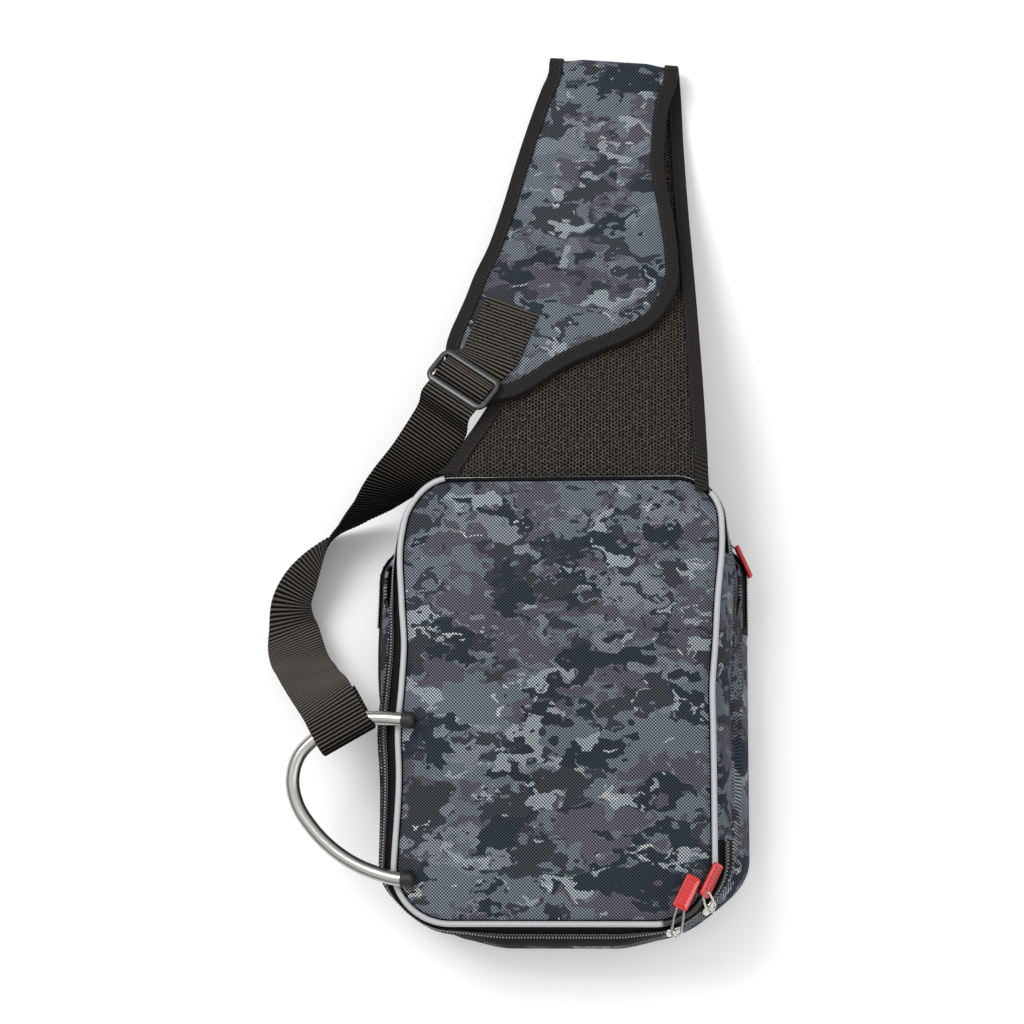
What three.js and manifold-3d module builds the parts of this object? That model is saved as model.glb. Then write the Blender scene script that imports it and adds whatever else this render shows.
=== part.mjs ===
// Fishing tackle sling bag, lying on its pocket side with the padded strap folded over itself.
// Millimetres, +Z up, +Y from the bag towards the strap. The origin is the middle of the flat underside.
import * as THREE from 'three';
import { mergeVertices } from 'three/addons/utils/BufferGeometryUtils.js';
import Module from 'manifold-3d';

const wasm = await Module();
wasm.setup();

// Body
const PANEL_W = 214;          // back panel across, piping to piping
const PANEL_TOP = 152;        // piping's top edge from the origin
const PANEL_BOTTOM = 149.5;   // piping's bottom edge from the origin
const BODY_H = 90;            // floor to the back panel's edge
const PANEL_CROWN = 3;        // how far the middle of the back panel rises
const POCKET_H = 48;          // depth of the front pocket
const POCKET_TOP = 91;        // upper end of the pocket before its bulge
const POCKET_INSET = 1;       // how much wider the pocket is than the panel, each side
const TAPE_H = 26;            // depth of the black zip band
const CLOTH = 2;              // wall of the padded cloth
const GAP = 0.3;              // room between neighbouring pieces
const PIPING_R = 2;           // radius of the piping
const PIPING_SEAM = 0.8;      // room between the piping and the panel's edge
const TOP_RADIUS = 30;        // panel corners beside the strap
const LEFT_RADIUS = 37;       // lower left corner
const RIGHT_RADIUS = 42;      // lower right corner
const POCKET_RADIUS = 4;      // pocket's upper corners before the bulge
const BULGE = 10;             // how far the zip band stands out at its chain
const POCKET_BULGE = 20;      // how far the pocket stands out at half its depth
const CORNER_BULGE = 0.62;    // share of the bulge that is left at a corner

// Main zip
const HINGE_TOP = 100;        // upper end of the cloth hinge on the right side
const HINGE_BOTTOM = -88;     // lower end of the hinge
const CHAIN_W = 5;            // zip teeth, across the tape
const CHAIN_T = 1.6;          // zip teeth, out of the tape
const CHAIN_DOWN = 0.4;       // where the teeth run, as a share of TAPE_H from its upper edge
const POCKET_ZIP_DOWN = 0.2;  // and the pocket's teeth, as a share of the pocket wall

// Padded strap
const STRAP_W = 186;          // strap's width where it is sewn to the bag
const STRAP_X = 9.4;          // middle of that seam
const STRAP_RUN = 296;        // from the seam to the fold, in plan
const FLAP_RUN = 241;         // from the fold back to the flap's tip, in plan
const FOLD_R = 9;             // fold radius at the middle of the strap's thickness
const FOLD_SKEW = 0.086;      // slope of the fold line in plan
const PAD_REST = 8.6;         // height of the flap's middle over the strap's middle at the tip
const OUTER_EDGE = 2.3;       // outer cloth's distance from the mid surface at the edges
const PUFF_OUT = 1.7;         // how far the outer cloth swells between the edges
const PAD_EDGE = 2;           // pad's surface from the mid surface at the edges
const PUFF_IN = 2;            // how far the pad swells
const BINDING_W = 9.5;        // width of the edge binding on each face
const BINDING_T = 1;          // thickness of the binding
const PUFF_START = 10.8;      // distance from the edge where the swelling begins
const PUFF_END = 24;          // distance from the edge where it is full
const BINDING_SEAT = 0.6;     // room between the strap's cloth and its binding
const EDGE_MOST = 0.12;       // on short rungs each of these distances is capped as a share of the rung
const START_MOST = 0.36;
const END_MOST = 0.45;
const PUFF_RAMP = 0.08;       // share of a rung in which the swelling rises
const FOLD_STEPS = 5;         // sections round the fold
const SKEW_PIVOT = 0.15;      // where the fold line crosses the strap's length, as a share of STRAP_W
const SKEW_REACH = 0.35;      // how far from the fold its slope is felt, as a share of STRAP_RUN

// Webbing, adjuster and ring
const WEBBING_W = 40;
const WEBBING_T = 1.8;
const PATCH_L = 41;           // sewn end of the webbing
const GLIDE_L = 27;           // adjuster along the webbing
const GLIDE_RAIL = 3.4;       // adjuster's side rails
const GLIDE_BAR = 4.5;        // adjuster's outer bars
const GLIDE_MID = 5;          // adjuster's middle bar
const GLIDE_T = 3.5;          // thickness of the adjuster's frame
const GLIDE_STEP = 2.2;       // how far the middle bar sits below the frame
const ROD_R = 4.8;            // steel ring's rod
const RING_CHORD = 106;       // distance between the ring's ends
const RING_REACH = 77;        // how far the ring stands out from the panel's edge
const RING_TILT = 6;          // degrees that the ring droops
const RING_TOP_Y = -13.5;     // upper end of the ring along the bag
const RING_IN = 6;            // ring's ends inside the piping
const BOOT_R = 6.1;           // rubber boots on the ring's ends
const BOOT_L = 10;
const LOOP_SWING = 29;        // heading of the webbing's edge where it holds the ring, degrees
const LOOP_SLACK = 0.5;       // room between the rod and the webbing round it
const LOOP_BACK = 26;         // length of the webbing that returns under the ring
const LOOP_ENTRY = 6;         // where the webbing meets the ring's plane, before the rod
const LOOP_BEND = 6;          // sections round the rod
const WEBBING_SEAT = 0.4;     // room between the webbing and the strap's swollen cloth
const PATCH_X = -0.264;       // middle of the sewn end, as a share of STRAP_W from the strap's middle
const PATCH_ALONG = 0.805;    // and as a share of FLAP_RUN from the fold
const PATCH_TURN = 21.5;      // heading of the sewn end, degrees from the strap's length
const GLIDE_X = -0.398;       // middle of the adjuster, in the same way
const GLIDE_ALONG = 0.952;
const GLIDE_TURN = 36.8;

// Pulls
const PULL_L = 24;
const PULL_W = 10.4;
const PULL_T = 2.8;
const SLIDER_L = 11;
const SLIDER_W = 8;
const SLIDER_T = 3.2;
const SLIDER_SEAT = 1.8;      // room between a slider and the teeth
const ARCH_W = 2;             // the slider's arch: thickness, height and the room in it
const ARCH_H = 5;
const ARCH_EYE = 2.6;
const EYE_W = 5;              // slot in a tab
const EYE_L = 2.4;
const WIRE_R = 0.8;           // wire link's rod
const WIRE_W = 6.4;           // wire link across, between the middles of its rods

const INK = { camo: 0x545a62, mesh: 0x322e2b, black: 0x1c1b1b, webbing: 0x38343a, piping: 0xd2d4d6 };
const METAL = { steel: 0xc6c5c1, zinc: 0xb9b7b0 };

// Waves of the panel's sides: share of the height, then each side's swing as a share of the panel's width
const SIDE_WAVES = [
  { up: 0.13, left: 0.021, right: -0.014 },
  { up: 0.33, left: 0.006, right: -0.015 },
  { up: 0.43, left: 0.010, right: -0.016 },
  { up: 0.53, left: -0.001, right: -0.017 },
  { up: 0.62, left: -0.008, right: -0.007 },
  { up: 0.72, left: 0.000, right: 0.001 },
  { up: 0.86, left: 0.003, right: 0.017 },
];
// The pocket slumps inwards at its lower left
const POCKET_WAVES = [
  { up: 0.00, left: -0.045, right: 0.0 },
  { up: 0.38, left: -0.045, right: 0.0 },
  { up: 0.52, left: -0.018, right: 0.0 },
  { up: 0.62, left: 0.0, right: 0.0 },
  { up: 1.00, left: 0.0, right: 0.0 },
];
// Section of the side wall from the zip band down: depth as a share of its band, bulge as a share of BULGE
const TAPE_SECTION = [
  { down: 1.00, side: 1.15, bottom: 1.00, top: 0.45 },
  { down: 0.40, side: 0.80, bottom: 0.70, top: 0.35 },
  { down: 0.15, side: 0.45, bottom: 0.40, top: 0.15 },
  { down: 0.00, side: 0.05, bottom: 0.05, top: 0.00 },
];
const WALL_SECTION = [
  { down: 1.00, side: 1.40, bottom: 1.20, top: 0.55 },
  { down: 0.50, side: 1.33, bottom: 1.13, top: 0.50 },
  { down: 0.00, side: 1.22, bottom: 1.02, top: 0.46 },
];
// The pocket's wall, as shares of POCKET_BULGE
const POCKET_SECTION = [
  { down: 1.00, side: 0.62, bottom: 0.50, top: 0.55 },
  { down: 0.80, side: 0.88, bottom: 0.78, top: 0.80 },
  { down: 0.45, side: 1.00, bottom: 0.92, top: 1.00 },
  { down: 0.15, side: 0.90, bottom: 0.82, top: 0.90 },
  { down: 0.00, side: 0.78, bottom: 0.68, top: 0.80 },
];
// Strap from the seam to the fold: share of STRAP_RUN, then both edges as shares of STRAP_W
const STRAP_ROWS = [
  { along: 0.010, left: -0.500, right: 0.500 },
  { along: 0.040, left: -0.454, right: 0.496 },
  { along: 0.085, left: -0.405, right: 0.492 },
  { along: 0.135, left: -0.350, right: 0.488 },
  { along: 0.190, left: -0.296, right: 0.483 },
  { along: 0.270, left: -0.225, right: 0.475 },
  { along: 0.380, left: -0.160, right: 0.463 },
  { along: 0.520, left: -0.115, right: 0.447 },
  { along: 0.680, left: -0.095, right: 0.428 },
  { along: 0.850, left: -0.085, right: 0.412 },
];
// Flap from the fold to its tip: each edge's place as shares of FLAP_RUN and STRAP_W
const FLAP_ROWS = [
  { left_along: 0.000, left: -0.110, right_along: 0.000, right: 0.390 },
  { left_along: 0.055, left: -0.142, right_along: 0.065, right: 0.363 },
  { left_along: 0.175, left: -0.200, right_along: 0.175, right: 0.342 },
  { left_along: 0.300, left: -0.247, right_along: 0.300, right: 0.342 },
  { left_along: 0.430, left: -0.293, right_along: 0.430, right: 0.369 },
  { left_along: 0.540, left: -0.336, right_along: 0.560, right: 0.390 },
  { left_along: 0.625, left: -0.373, right_along: 0.650, right: 0.390 },
  { left_along: 0.698, left: -0.405, right_along: 0.720, right: 0.358 },
  { left_along: 0.752, left: -0.432, right_along: 0.780, right: 0.300 },
  { left_along: 0.800, left: -0.456, right_along: 0.825, right: 0.205 },
  { left_along: 0.842, left: -0.469, right_along: 0.865, right: 0.085 },
  { left_along: 0.884, left: -0.469, right_along: 0.910, right: -0.036 },
  { left_along: 0.925, left: -0.453, right_along: 0.956, right: -0.125 },
  { left_along: 0.962, left: -0.420, right_along: 0.988, right: -0.200 },
  { left_along: 0.988, left: -0.373, right_along: 1.000, right: -0.275 },
];
// Webbing from the adjuster to the ring. along and out: shares of the straight line between the two;
// height: share of BODY_H; swing and lean: heading and droop of the webbing's width in degrees
const WEBBING_ROWS = [
  { along: 0.125, out: 0.042, height: 1.00, swing: -35, lean: 5 },
  { along: 0.170, out: 0.060, height: 0.93, swing: -33, lean: 13 },
  { along: 0.225, out: 0.085, height: 0.83, swing: -33, lean: 28 },
  { along: 0.320, out: 0.130, height: 0.65, swing: -30, lean: 51 },
  { along: 0.395, out: 0.182, height: 0.44, swing: -18, lean: 71 },
  { along: 0.470, out: 0.230, height: 0.27, swing: -4, lean: 82 },
  { along: 0.540, out: 0.266, height: 0.23, swing: 4, lean: 75 },
  { along: 0.640, out: 0.289, height: 0.21, swing: -3, lean: 63 },
  { along: 0.725, out: 0.286, height: 0.19, swing: -4, lean: 50 },
  { along: 0.800, out: 0.258, height: 0.19, swing: -3, lean: 43 },
  { along: 0.868, out: 0.207, height: 0.36, swing: -1, lean: 32 },
  { along: 0.915, out: 0.135, height: 0.66, swing: 10, lean: 14 },
];
// Centre line of the ring: share of the chord from its upper end, share of its reach
const RING_ROWS = [
  { chord: 0.000, reach: 0.000 },
  { chord: -0.010, reach: 0.150 },
  { chord: -0.015, reach: 0.350 },
  { chord: 0.035, reach: 0.610 },
  { chord: 0.120, reach: 0.850 },
  { chord: 0.230, reach: 0.990 },
  { chord: 0.380, reach: 1.040 },
  { chord: 0.530, reach: 0.995 },
  { chord: 0.680, reach: 0.860 },
  { chord: 0.810, reach: 0.680 },
  { chord: 0.905, reach: 0.480 },
  { chord: 0.965, reach: 0.280 },
  { chord: 1.000, reach: 0.080 },
  { chord: 1.003, reach: 0.000 },
];

const group = new THREE.Group();

function add(name, geometry, color, roughness = 0.85, metalness = 0) {
  const material = new THREE.MeshStandardMaterial({ color, roughness, metalness });
  const mesh = new THREE.Mesh(geometry, material);
  mesh.name = name;
  group.add(mesh);
  return mesh;
}

const rad = THREE.MathUtils.degToRad;
const smooth = (x) => THREE.MathUtils.smoothstep(x, 0, 1);
const vec = (x, y, z) => new THREE.Vector3(x, y, z);

// Linear reading of a table's column at a place along another column
function read(rows, key, column, at) {
  if (at <= rows[0][key]) return rows[0][column];
  for (let i = 1; i < rows.length; i += 1) {
    const low = rows[i - 1];
    const high = rows[i];
    if (at <= high[key]) {
      const share = (at - low[key]) / (high[key] - low[key]);
      return low[column] + share * (high[column] - low[column]);
    }
  }
  return rows[rows.length - 1][column];
}

// Closed solid through sections that are loops of points. Each loop runs out along one face and back
// along the other, so an end is closed by pairing its first points with its last ones.
function loft(sections, closed = false) {
  const count = sections[0].length;
  const positions = sections.flat().flatMap((point) => point.toArray());
  const index = [];
  const quad = (a, b, c, d) => index.push(a, b, c, a, c, d);
  const turnedQuad = (a, b, c, d) => index.push(a, b, d, b, c, d);
  const spans = closed ? sections.length : sections.length - 1;
  for (let i = 0; i < spans; i += 1) {
    const here = i * count;
    const next = ((i + 1) % sections.length) * count;
    for (let j = 0; j < count; j += 1) {
      const k = (j + 1) % count;
      const split = j < count / 2 ? quad : turnedQuad;
      split(here + j, here + k, next + k, next + j);
    }
  }
  if (!closed) {
    const last = (sections.length - 1) * count;
    for (let j = 0; j < count / 2 - 1; j += 1) {
      const k = count - 1 - j;
      quad(j, k, k - 1, j + 1);
      quad(last + j, last + j + 1, last + k - 1, last + k);
    }
  }
  let volume = 0;
  const corner = (n) => vec().fromArray(positions, n * 3);
  for (let i = 0; i < index.length; i += 3) {
    volume += corner(index[i]).dot(corner(index[i + 1]).cross(corner(index[i + 2])));
  }
  if (volume < 0) index.reverse();
  const geometry = new THREE.BufferGeometry();
  geometry.setAttribute('position', new THREE.Float32BufferAttribute(positions, 3));
  geometry.setIndex(index);
  geometry.computeVertexNormals();
  return geometry;
}

function toSolid(geometry) {
  const bare = geometry.clone();
  bare.deleteAttribute('normal');
  bare.deleteAttribute('uv');
  const merged = mergeVertices(bare, 1e-4);
  return new wasm.Manifold(new wasm.Mesh({
    numProp: 3,
    vertProperties: merged.attributes.position.array,
    triVerts: new Uint32Array(merged.index.array),
  }));
}

function toGeometry(solid) {
  const mesh = solid.getMesh();
  const geometry = new THREE.BufferGeometry();
  geometry.setAttribute('position', new THREE.BufferAttribute(mesh.vertProperties, 3));
  geometry.setIndex(new THREE.BufferAttribute(mesh.triVerts, 1));
  return geometry;
}

function roundedShape(length, width, radius, segments = 4) {
  const points = [];
  const centres = [[1, 1, 0], [-1, 1, 90], [-1, -1, 180], [1, -1, 270]];
  for (const [sx, sy, turn] of centres) {
    for (let i = 0; i <= segments; i += 1) {
      const angle = rad(turn + (90 * i) / segments);
      const x = sx * (length / 2 - radius) + radius * Math.cos(angle);
      const y = sy * (width / 2 - radius) + radius * Math.sin(angle);
      points.push(new THREE.Vector2(x, y));
    }
  }
  return points;
}

function plate(points, thickness, holes = []) {
  const shape = new THREE.Shape(points);
  shape.holes = holes.map((hole) => new THREE.Path(hole));
  return new THREE.ExtrudeGeometry(shape, { depth: thickness, bevelEnabled: false });
}

// Sub-part: outline of the body, as stations that each know which way is out

const BODY_FORM = {
  half: PANEL_W / 2,
  top: PANEL_TOP,
  bottom: -PANEL_BOTTOM,
  radii: { tr: TOP_RADIUS, tl: TOP_RADIUS, bl: LEFT_RADIUS, br: RIGHT_RADIUS },
  waves: SIDE_WAVES,
};
const POCKET_FORM = {
  half: PANEL_W / 2 + POCKET_INSET,
  top: POCKET_TOP,
  bottom: -PANEL_BOTTOM,
  radii: { tr: POCKET_RADIUS, tl: POCKET_RADIUS, bl: LEFT_RADIUS, br: RIGHT_RADIUS },
  waves: POCKET_WAVES,
};
const ARC_STEPS = 5;
const SIDE_STEPS = 9;
const END_STEPS = 4;

function wave(form, x, y) {
  const up = (y - form.bottom) / (form.top - form.bottom);
  const side = x < 0 ? 'left' : 'right';
  return read(form.waves, 'up', side, up) * PANEL_W * (x / form.half);
}

function station(form, x, y, nx, ny) {
  return { x: x + wave(form, x, y), y, nx, ny };
}

function corner(form, name, sx, sy, from) {
  const r = form.radii[name];
  const cx = sx * (form.half - r);
  const cy = (sy > 0 ? form.top : form.bottom) - sy * r;
  const stations = [];
  for (let i = 0; i <= ARC_STEPS; i += 1) {
    const angle = rad(from + (90 * i) / ARC_STEPS);
    const nx = Math.cos(angle);
    const ny = Math.sin(angle);
    stations.push(station(form, cx + r * nx, cy + r * ny, nx, ny));
  }
  return stations;
}

// Stations between two corners, both ends left out
function between(form, a, b, steps, nx, ny) {
  const stations = [];
  for (let i = 1; i < steps; i += 1) {
    const share = i / steps;
    const px = a[0] + share * (b[0] - a[0]);
    const py = a[1] + share * (b[1] - a[1]);
    stations.push(station(form, px, py, nx, ny));
  }
  return stations;
}

// Counter-clockwise from the top right corner to the lower end of the right side
function perimeter(form) {
  const { half, top, bottom, radii } = form;
  const topEdge = between(form, [half - radii.tr, top], [radii.tl - half, top], END_STEPS, 0, 1);
  const left = between(form, [-half, top - radii.tl], [-half, bottom + radii.bl], SIDE_STEPS, -1, 0);
  const lowEdge = between(form, [radii.bl - half, bottom], [half - radii.br, bottom], END_STEPS, 0, -1);
  return [
    ...corner(form, 'tr', 1, 1, 0), ...topEdge,
    ...corner(form, 'tl', -1, 1, 90), ...left,
    ...corner(form, 'bl', -1, -1, 180), ...lowEdge,
    ...corner(form, 'br', 1, -1, 270),
  ];
}

function rightSide(form, from, to, steps) {
  const stations = [];
  for (let i = 0; i <= steps; i += 1) {
    stations.push(station(form, form.half, from + ((to - from) * i) / steps, 1, 0));
  }
  return stations;
}

// A station moved out by a bulge, which is smaller at the corners, and then straight out by offset
function placed(s, row, bulge, offset) {
  const end = s.ny > 0 ? row.top : row.bottom;
  const round = 1 - (1 - CORNER_BULGE) * (2 * s.nx * s.ny) ** 2;
  const out = (row.side * s.nx ** 2 + end * s.ny ** 2) * bulge * round + offset;
  return [s.x + s.nx * out, s.y + s.ny * out];
}

function band(stations, section, bulge, low, high, closed, outside = 0, wall = CLOTH) {
  const ring = (s, offset) => section.map((row) => {
    const [x, y] = placed(s, row, bulge, offset);
    return vec(x, y, high - row.down * (high - low));
  });
  const sections = stations.map((s) => [...ring(s, outside), ...ring(s, outside - wall).reverse()]);
  return loft(sections, closed);
}

function flatPlate(stations, row, bulge, offset, low, thickness) {
  const points = stations.map((s) => new THREE.Vector2(...placed(s, row, bulge, offset)));
  const geometry = plate(points, thickness);
  geometry.translate(0, 0, low);
  return geometry;
}

const bodyCorners = perimeter(BODY_FORM);
const zipStations = [
  station(BODY_FORM, BODY_FORM.half, HINGE_TOP, 1, 0),
  ...bodyCorners,
  station(BODY_FORM, BODY_FORM.half, HINGE_BOTTOM, 1, 0),
];
const hingeStations = rightSide(BODY_FORM, HINGE_BOTTOM + GAP, HINGE_TOP - GAP, SIDE_STEPS - 1);
const bodyStations = [...bodyCorners, ...hingeStations];
const pocketSide = rightSide(POCKET_FORM, POCKET_FORM.bottom + RIGHT_RADIUS, POCKET_TOP - POCKET_RADIUS, 7);
const pocketStations = [...perimeter(POCKET_FORM), ...pocketSide.slice(1, -1)];

const PANEL_LOW = BODY_H - CLOTH;
const TAPE_TOP = PANEL_LOW - GAP;
const TAPE_LOW = TAPE_TOP - TAPE_H;
const DIVIDER_LOW = POCKET_H + GAP;
const WALL_LOW = DIVIDER_LOW + CLOTH + GAP;

// Back panel: strips across, from the lower edge to the upper one, crowned in the middle
function backPanel() {
  const inset = -(PIPING_R + PIPING_SEAM);
  const flat = { side: 0, top: 0, bottom: 0 };
  const low = (END_STEPS - 1) + (ARC_STEPS + 1);
  const all = bodyCorners.map((s) => placed(s, flat, 0, inset));
  const right = [...all.slice(-ARC_STEPS - 1)];
  const sideYs = [];
  const steps = SIDE_STEPS;
  const topEnd = all[0][1];
  for (let i = 1; i < steps; i += 1) {
    const y = right[right.length - 1][1] + ((topEnd - right[right.length - 1][1]) * i) / steps;
    sideYs.push(placed(station(BODY_FORM, BODY_FORM.half, y, 1, 0), flat, 0, inset));
  }
  const rightChain = [...right, ...sideYs, ...all.slice(0, ARC_STEPS + 1)];
  const leftStart = low;
  const leftEnd = leftStart + 2 * (ARC_STEPS + 1) + SIDE_STEPS - 1;
  const leftChain = all.slice(leftStart, leftEnd).reverse();
  const shares = [0, 0.05, 0.2, 0.5, 0.8, 0.95, 1];
  const rows = leftChain.map((l, i) => {
    const r = rightChain[i];
    const crown = (share, y) => {
      const across = 1 - Math.abs(2 * share - 1) ** 4;
      const up = (y + PANEL_BOTTOM) / (PANEL_TOP + PANEL_BOTTOM);
      return PANEL_CROWN * across * (1 - Math.abs(2 * up - 1) ** 6);
    };
    const at = (share, z) => {
      const y = l[1] + share * (r[1] - l[1]);
      return vec(l[0] + share * (r[0] - l[0]), y, z + crown(share, y));
    };
    const under = shares.map((share) => at(share, PANEL_LOW)).reverse();
    return [...shares.map((share) => at(share, BODY_H)), ...under];
  });
  return loft(rows);
}

// Sub-part: the strap's mid surface. q runs from the seam to the fold, round it, and back to the tip.
const SEAM_Y = PANEL_TOP - PIPING_R - PIPING_SEAM + GAP;
const PIPING_Z = TAPE_TOP + GAP + PIPING_R;
const STRAP_TOP_Z = TAPE_TOP + GAP + OUTER_EDGE;
const STRAP_LOW_Z = OUTER_EDGE + PUFF_OUT + 2 * GAP;
const FOLD_Y = SEAM_Y + STRAP_RUN;
const FOLD_LENGTH = Math.PI * FOLD_R;

function strapHeight(y) {
  const share = THREE.MathUtils.clamp((y - SEAM_Y) / STRAP_RUN, 0, 1);
  return STRAP_LOW_Z + (STRAP_TOP_Z - STRAP_LOW_Z) * (1 + Math.cos(Math.PI * share)) / 2;
}

function flapHeight(y) {
  const share = smooth(THREE.MathUtils.clamp((y - FOLD_Y + FLAP_RUN) / FLAP_RUN, 0, 1));
  return strapHeight(y) + PAD_REST + (2 * FOLD_R - PAD_REST) * share;
}

function pathPoint(q) {
  if (q <= STRAP_RUN) return [SEAM_Y + q, strapHeight(SEAM_Y + q)];
  const turn = (q - STRAP_RUN) / FOLD_R;
  if (turn < Math.PI) {
    return [FOLD_Y + FOLD_R * Math.sin(turn), STRAP_LOW_Z + FOLD_R * (1 - Math.cos(turn))];
  }
  const y = FOLD_Y - (q - STRAP_RUN - FOLD_LENGTH);
  return [y, flapHeight(y)];
}

// A point of the strap: x across, q along, w out of the mid surface towards the pad's side
function strapPoint(x, q, w) {
  const [y, z] = pathPoint(q);
  const [y0, z0] = pathPoint(q - 0.5);
  const [y1, z1] = pathPoint(q + 0.5);
  const length = Math.hypot(y1 - y0, z1 - z0);
  const ny = -(z1 - z0) / length;
  const nz = (y1 - y0) / length;
  const far = Math.exp(-(((q - STRAP_RUN - FOLD_LENGTH / 2) / (SKEW_REACH * STRAP_RUN)) ** 2));
  const skew = -FOLD_SKEW * (x - STRAP_X - SKEW_PIVOT * STRAP_W) * far;
  return vec(x, y + w * ny + skew, z + w * nz);
}

function strapRungs() {
  const across = (share) => STRAP_X + share * STRAP_W;
  const rungs = STRAP_ROWS.map((row) => {
    const q = row.along * STRAP_RUN;
    return { left: [across(row.left), q], right: [across(row.right), q] };
  });
  const first = FLAP_ROWS[0];
  const low = STRAP_ROWS[STRAP_ROWS.length - 1];
  for (let i = 0; i < FOLD_STEPS; i += 1) {
    const q = STRAP_RUN + (FOLD_LENGTH * i) / FOLD_STEPS;
    const share = 0.5 + i / FOLD_STEPS / 2;
    const left = across(low.left + share * (first.left - low.left));
    const right = across(low.right + share * (first.right - low.right));
    rungs.push({ left: [left, q], right: [right, q] });
  }
  const start = STRAP_RUN + FOLD_LENGTH;
  for (const row of FLAP_ROWS) {
    rungs.push({
      left: [across(row.left), start + row.left_along * FLAP_RUN],
      right: [across(row.right), start + row.right_along * FLAP_RUN],
    });
  }
  return rungs;
}

const rungs = strapRungs();
const lastRung = rungs.length - 1;

// How far along a rung a true distance from its edge lies
function rungInset(i, side, distance) {
  const here = rungs[i];
  const before = rungs[Math.max(i - 1, 0)][side];
  const after = rungs[Math.min(i + 1, lastRung)][side];
  const edge = new THREE.Vector2(after[0] - before[0], after[1] - before[1]).normalize();
  const rung = new THREE.Vector2(here.right[0] - here.left[0], here.right[1] - here.left[1]);
  const width = rung.length();
  const slant = Math.max(Math.abs(edge.cross(rung.normalize())), EDGE_MOST);
  return distance / slant / width;
}

// Rows of a layer: shares across each rung and how far the layer is swollen there
function layerColumns(i) {
  const cap = (value, most) => Math.min(value, most);
  const hem = BINDING_T + BINDING_SEAT;
  const near = [rungInset(i, 'left', hem), rungInset(i, 'right', hem)].map((v) => cap(v, EDGE_MOST));
  const first = [rungInset(i, 'left', PUFF_START), rungInset(i, 'right', PUFF_START)].map((v) => cap(v, START_MOST));
  const full = [rungInset(i, 'left', PUFF_END), rungInset(i, 'right', PUFF_END)].map((v) => cap(v, END_MOST));
  const tip = i >= lastRung - 2 || i === 0 ? 0 : 1;
  const swell = i === lastRung - 3 ? 0.5 : tip;
  const rise = (a, b) => swell * THREE.MathUtils.clamp((a - b) / PUFF_RAMP, 0, 1);
  return [
    { share: near[0], puff: 0 },
    { share: first[0], puff: 0 },
    { share: full[0], puff: rise(full[0], first[0]) },
    { share: 0.5, puff: rise(0.5, Math.min(first[0], first[1])) },
    { share: 1 - full[1], puff: rise(full[1], first[1]) },
    { share: 1 - first[1], puff: 0 },
    { share: 1 - near[1], puff: 0 },
  ];
}

// The seam's line in plan: the panel's upper edge, which drops round its corners
function seamDrop(x) {
  const r = TOP_RADIUS;
  const cx = PANEL_W / 2 - r;
  const wide = Math.abs(x) - cx - 0.017 * PANEL_W;
  return wide > 0 ? r - Math.sqrt(Math.max(r * r - wide * wide, 0)) : 0;
}

// The last rung stands back from the binding round the tip
function tipInset(i) {
  return i === lastRung ? BINDING_T + BINDING_SEAT + GAP : 0;
}

function strapLayer(low, high) {
  const sections = rungs.map((rung, i) => {
    const columns = layerColumns(i);
    const row = (height) => columns.map(({ share, puff }) => {
      const x = rung.left[0] + share * (rung.right[0] - rung.left[0]);
      const q = rung.left[1] + share * (rung.right[1] - rung.left[1]);
      const drop = i === 0 ? seamDrop(x) : tipInset(i);
      return strapPoint(x, q - drop, height(puff));
    });
    return [...row(high), ...row(low).reverse()];
  });
  return loft(sections);
}

const outerFace = (puff) => -(OUTER_EDGE + PUFF_OUT * puff);
const outerBack = (puff) => outerFace(puff) + CLOTH;
const padBack = (puff) => outerBack(puff) + GAP;
const padFace = (puff) => PAD_EDGE + PUFF_IN * puff;

// Binding: a U section carried round the strap's edge, from the seam to the tip and back
function strapBinding() {
  const edge = [
    ...rungs.map((rung) => ({ at: rung.left, to: rung.right })),
    ...rungs.map((rung) => ({ at: rung.right, to: rung.left })).reverse(),
  ];
  const low = -(OUTER_EDGE + BINDING_SEAT);
  const high = PAD_EDGE + BINDING_SEAT;
  const section = [
    [BINDING_W, low - BINDING_T], [0, low - BINDING_T], [0, high + BINDING_T], [BINDING_W, high + BINDING_T],
    [BINDING_W, high], [BINDING_T, high], [BINDING_T, low], [BINDING_W, low],
  ];
  const sections = edge.map(({ at, to }, i) => {
    const start = i === 0 || i === edge.length - 1;
    const before = edge[Math.max(i - 1, 0)].at;
    const after = edge[Math.min(i + 1, edge.length - 1)].at;
    const q = start ? at[1] + PIPING_R : at[1];
    const inward = new THREE.Vector2(before[1] - after[1], after[0] - before[0]).normalize();
    const toward = new THREE.Vector2(to[0] - at[0], to[1] - at[1]);
    if (inward.dot(toward) < 0) inward.negate();
    if (start) inward.set(Math.sign(toward.x), 0);
    return section.map(([deep, w]) => strapPoint(at[0] + deep * inward.x, q + deep * inward.y, w));
  });
  return loft(sections);
}

// Sub-part: webbing. A flap frame gives the surface under the adjuster and the sewn end.
const WEBBING_LIFT = OUTER_EDGE + PUFF_OUT + WEBBING_SEAT + WEBBING_T / 2;

// Point over the flap's outer face, lift away from the mid surface
function overFlap(x, y, lift) {
  const q = STRAP_RUN + FOLD_LENGTH + (FOLD_Y - y);
  const point = strapPoint(x, q, -lift);
  return vec(x, point.y, point.z);
}

function turned(degrees) {
  const angle = rad(degrees);
  return {
    ahead: vec(-Math.sin(angle), -Math.cos(angle), 0),
    across: vec(Math.cos(angle), -Math.sin(angle), 0),
  };
}

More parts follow.
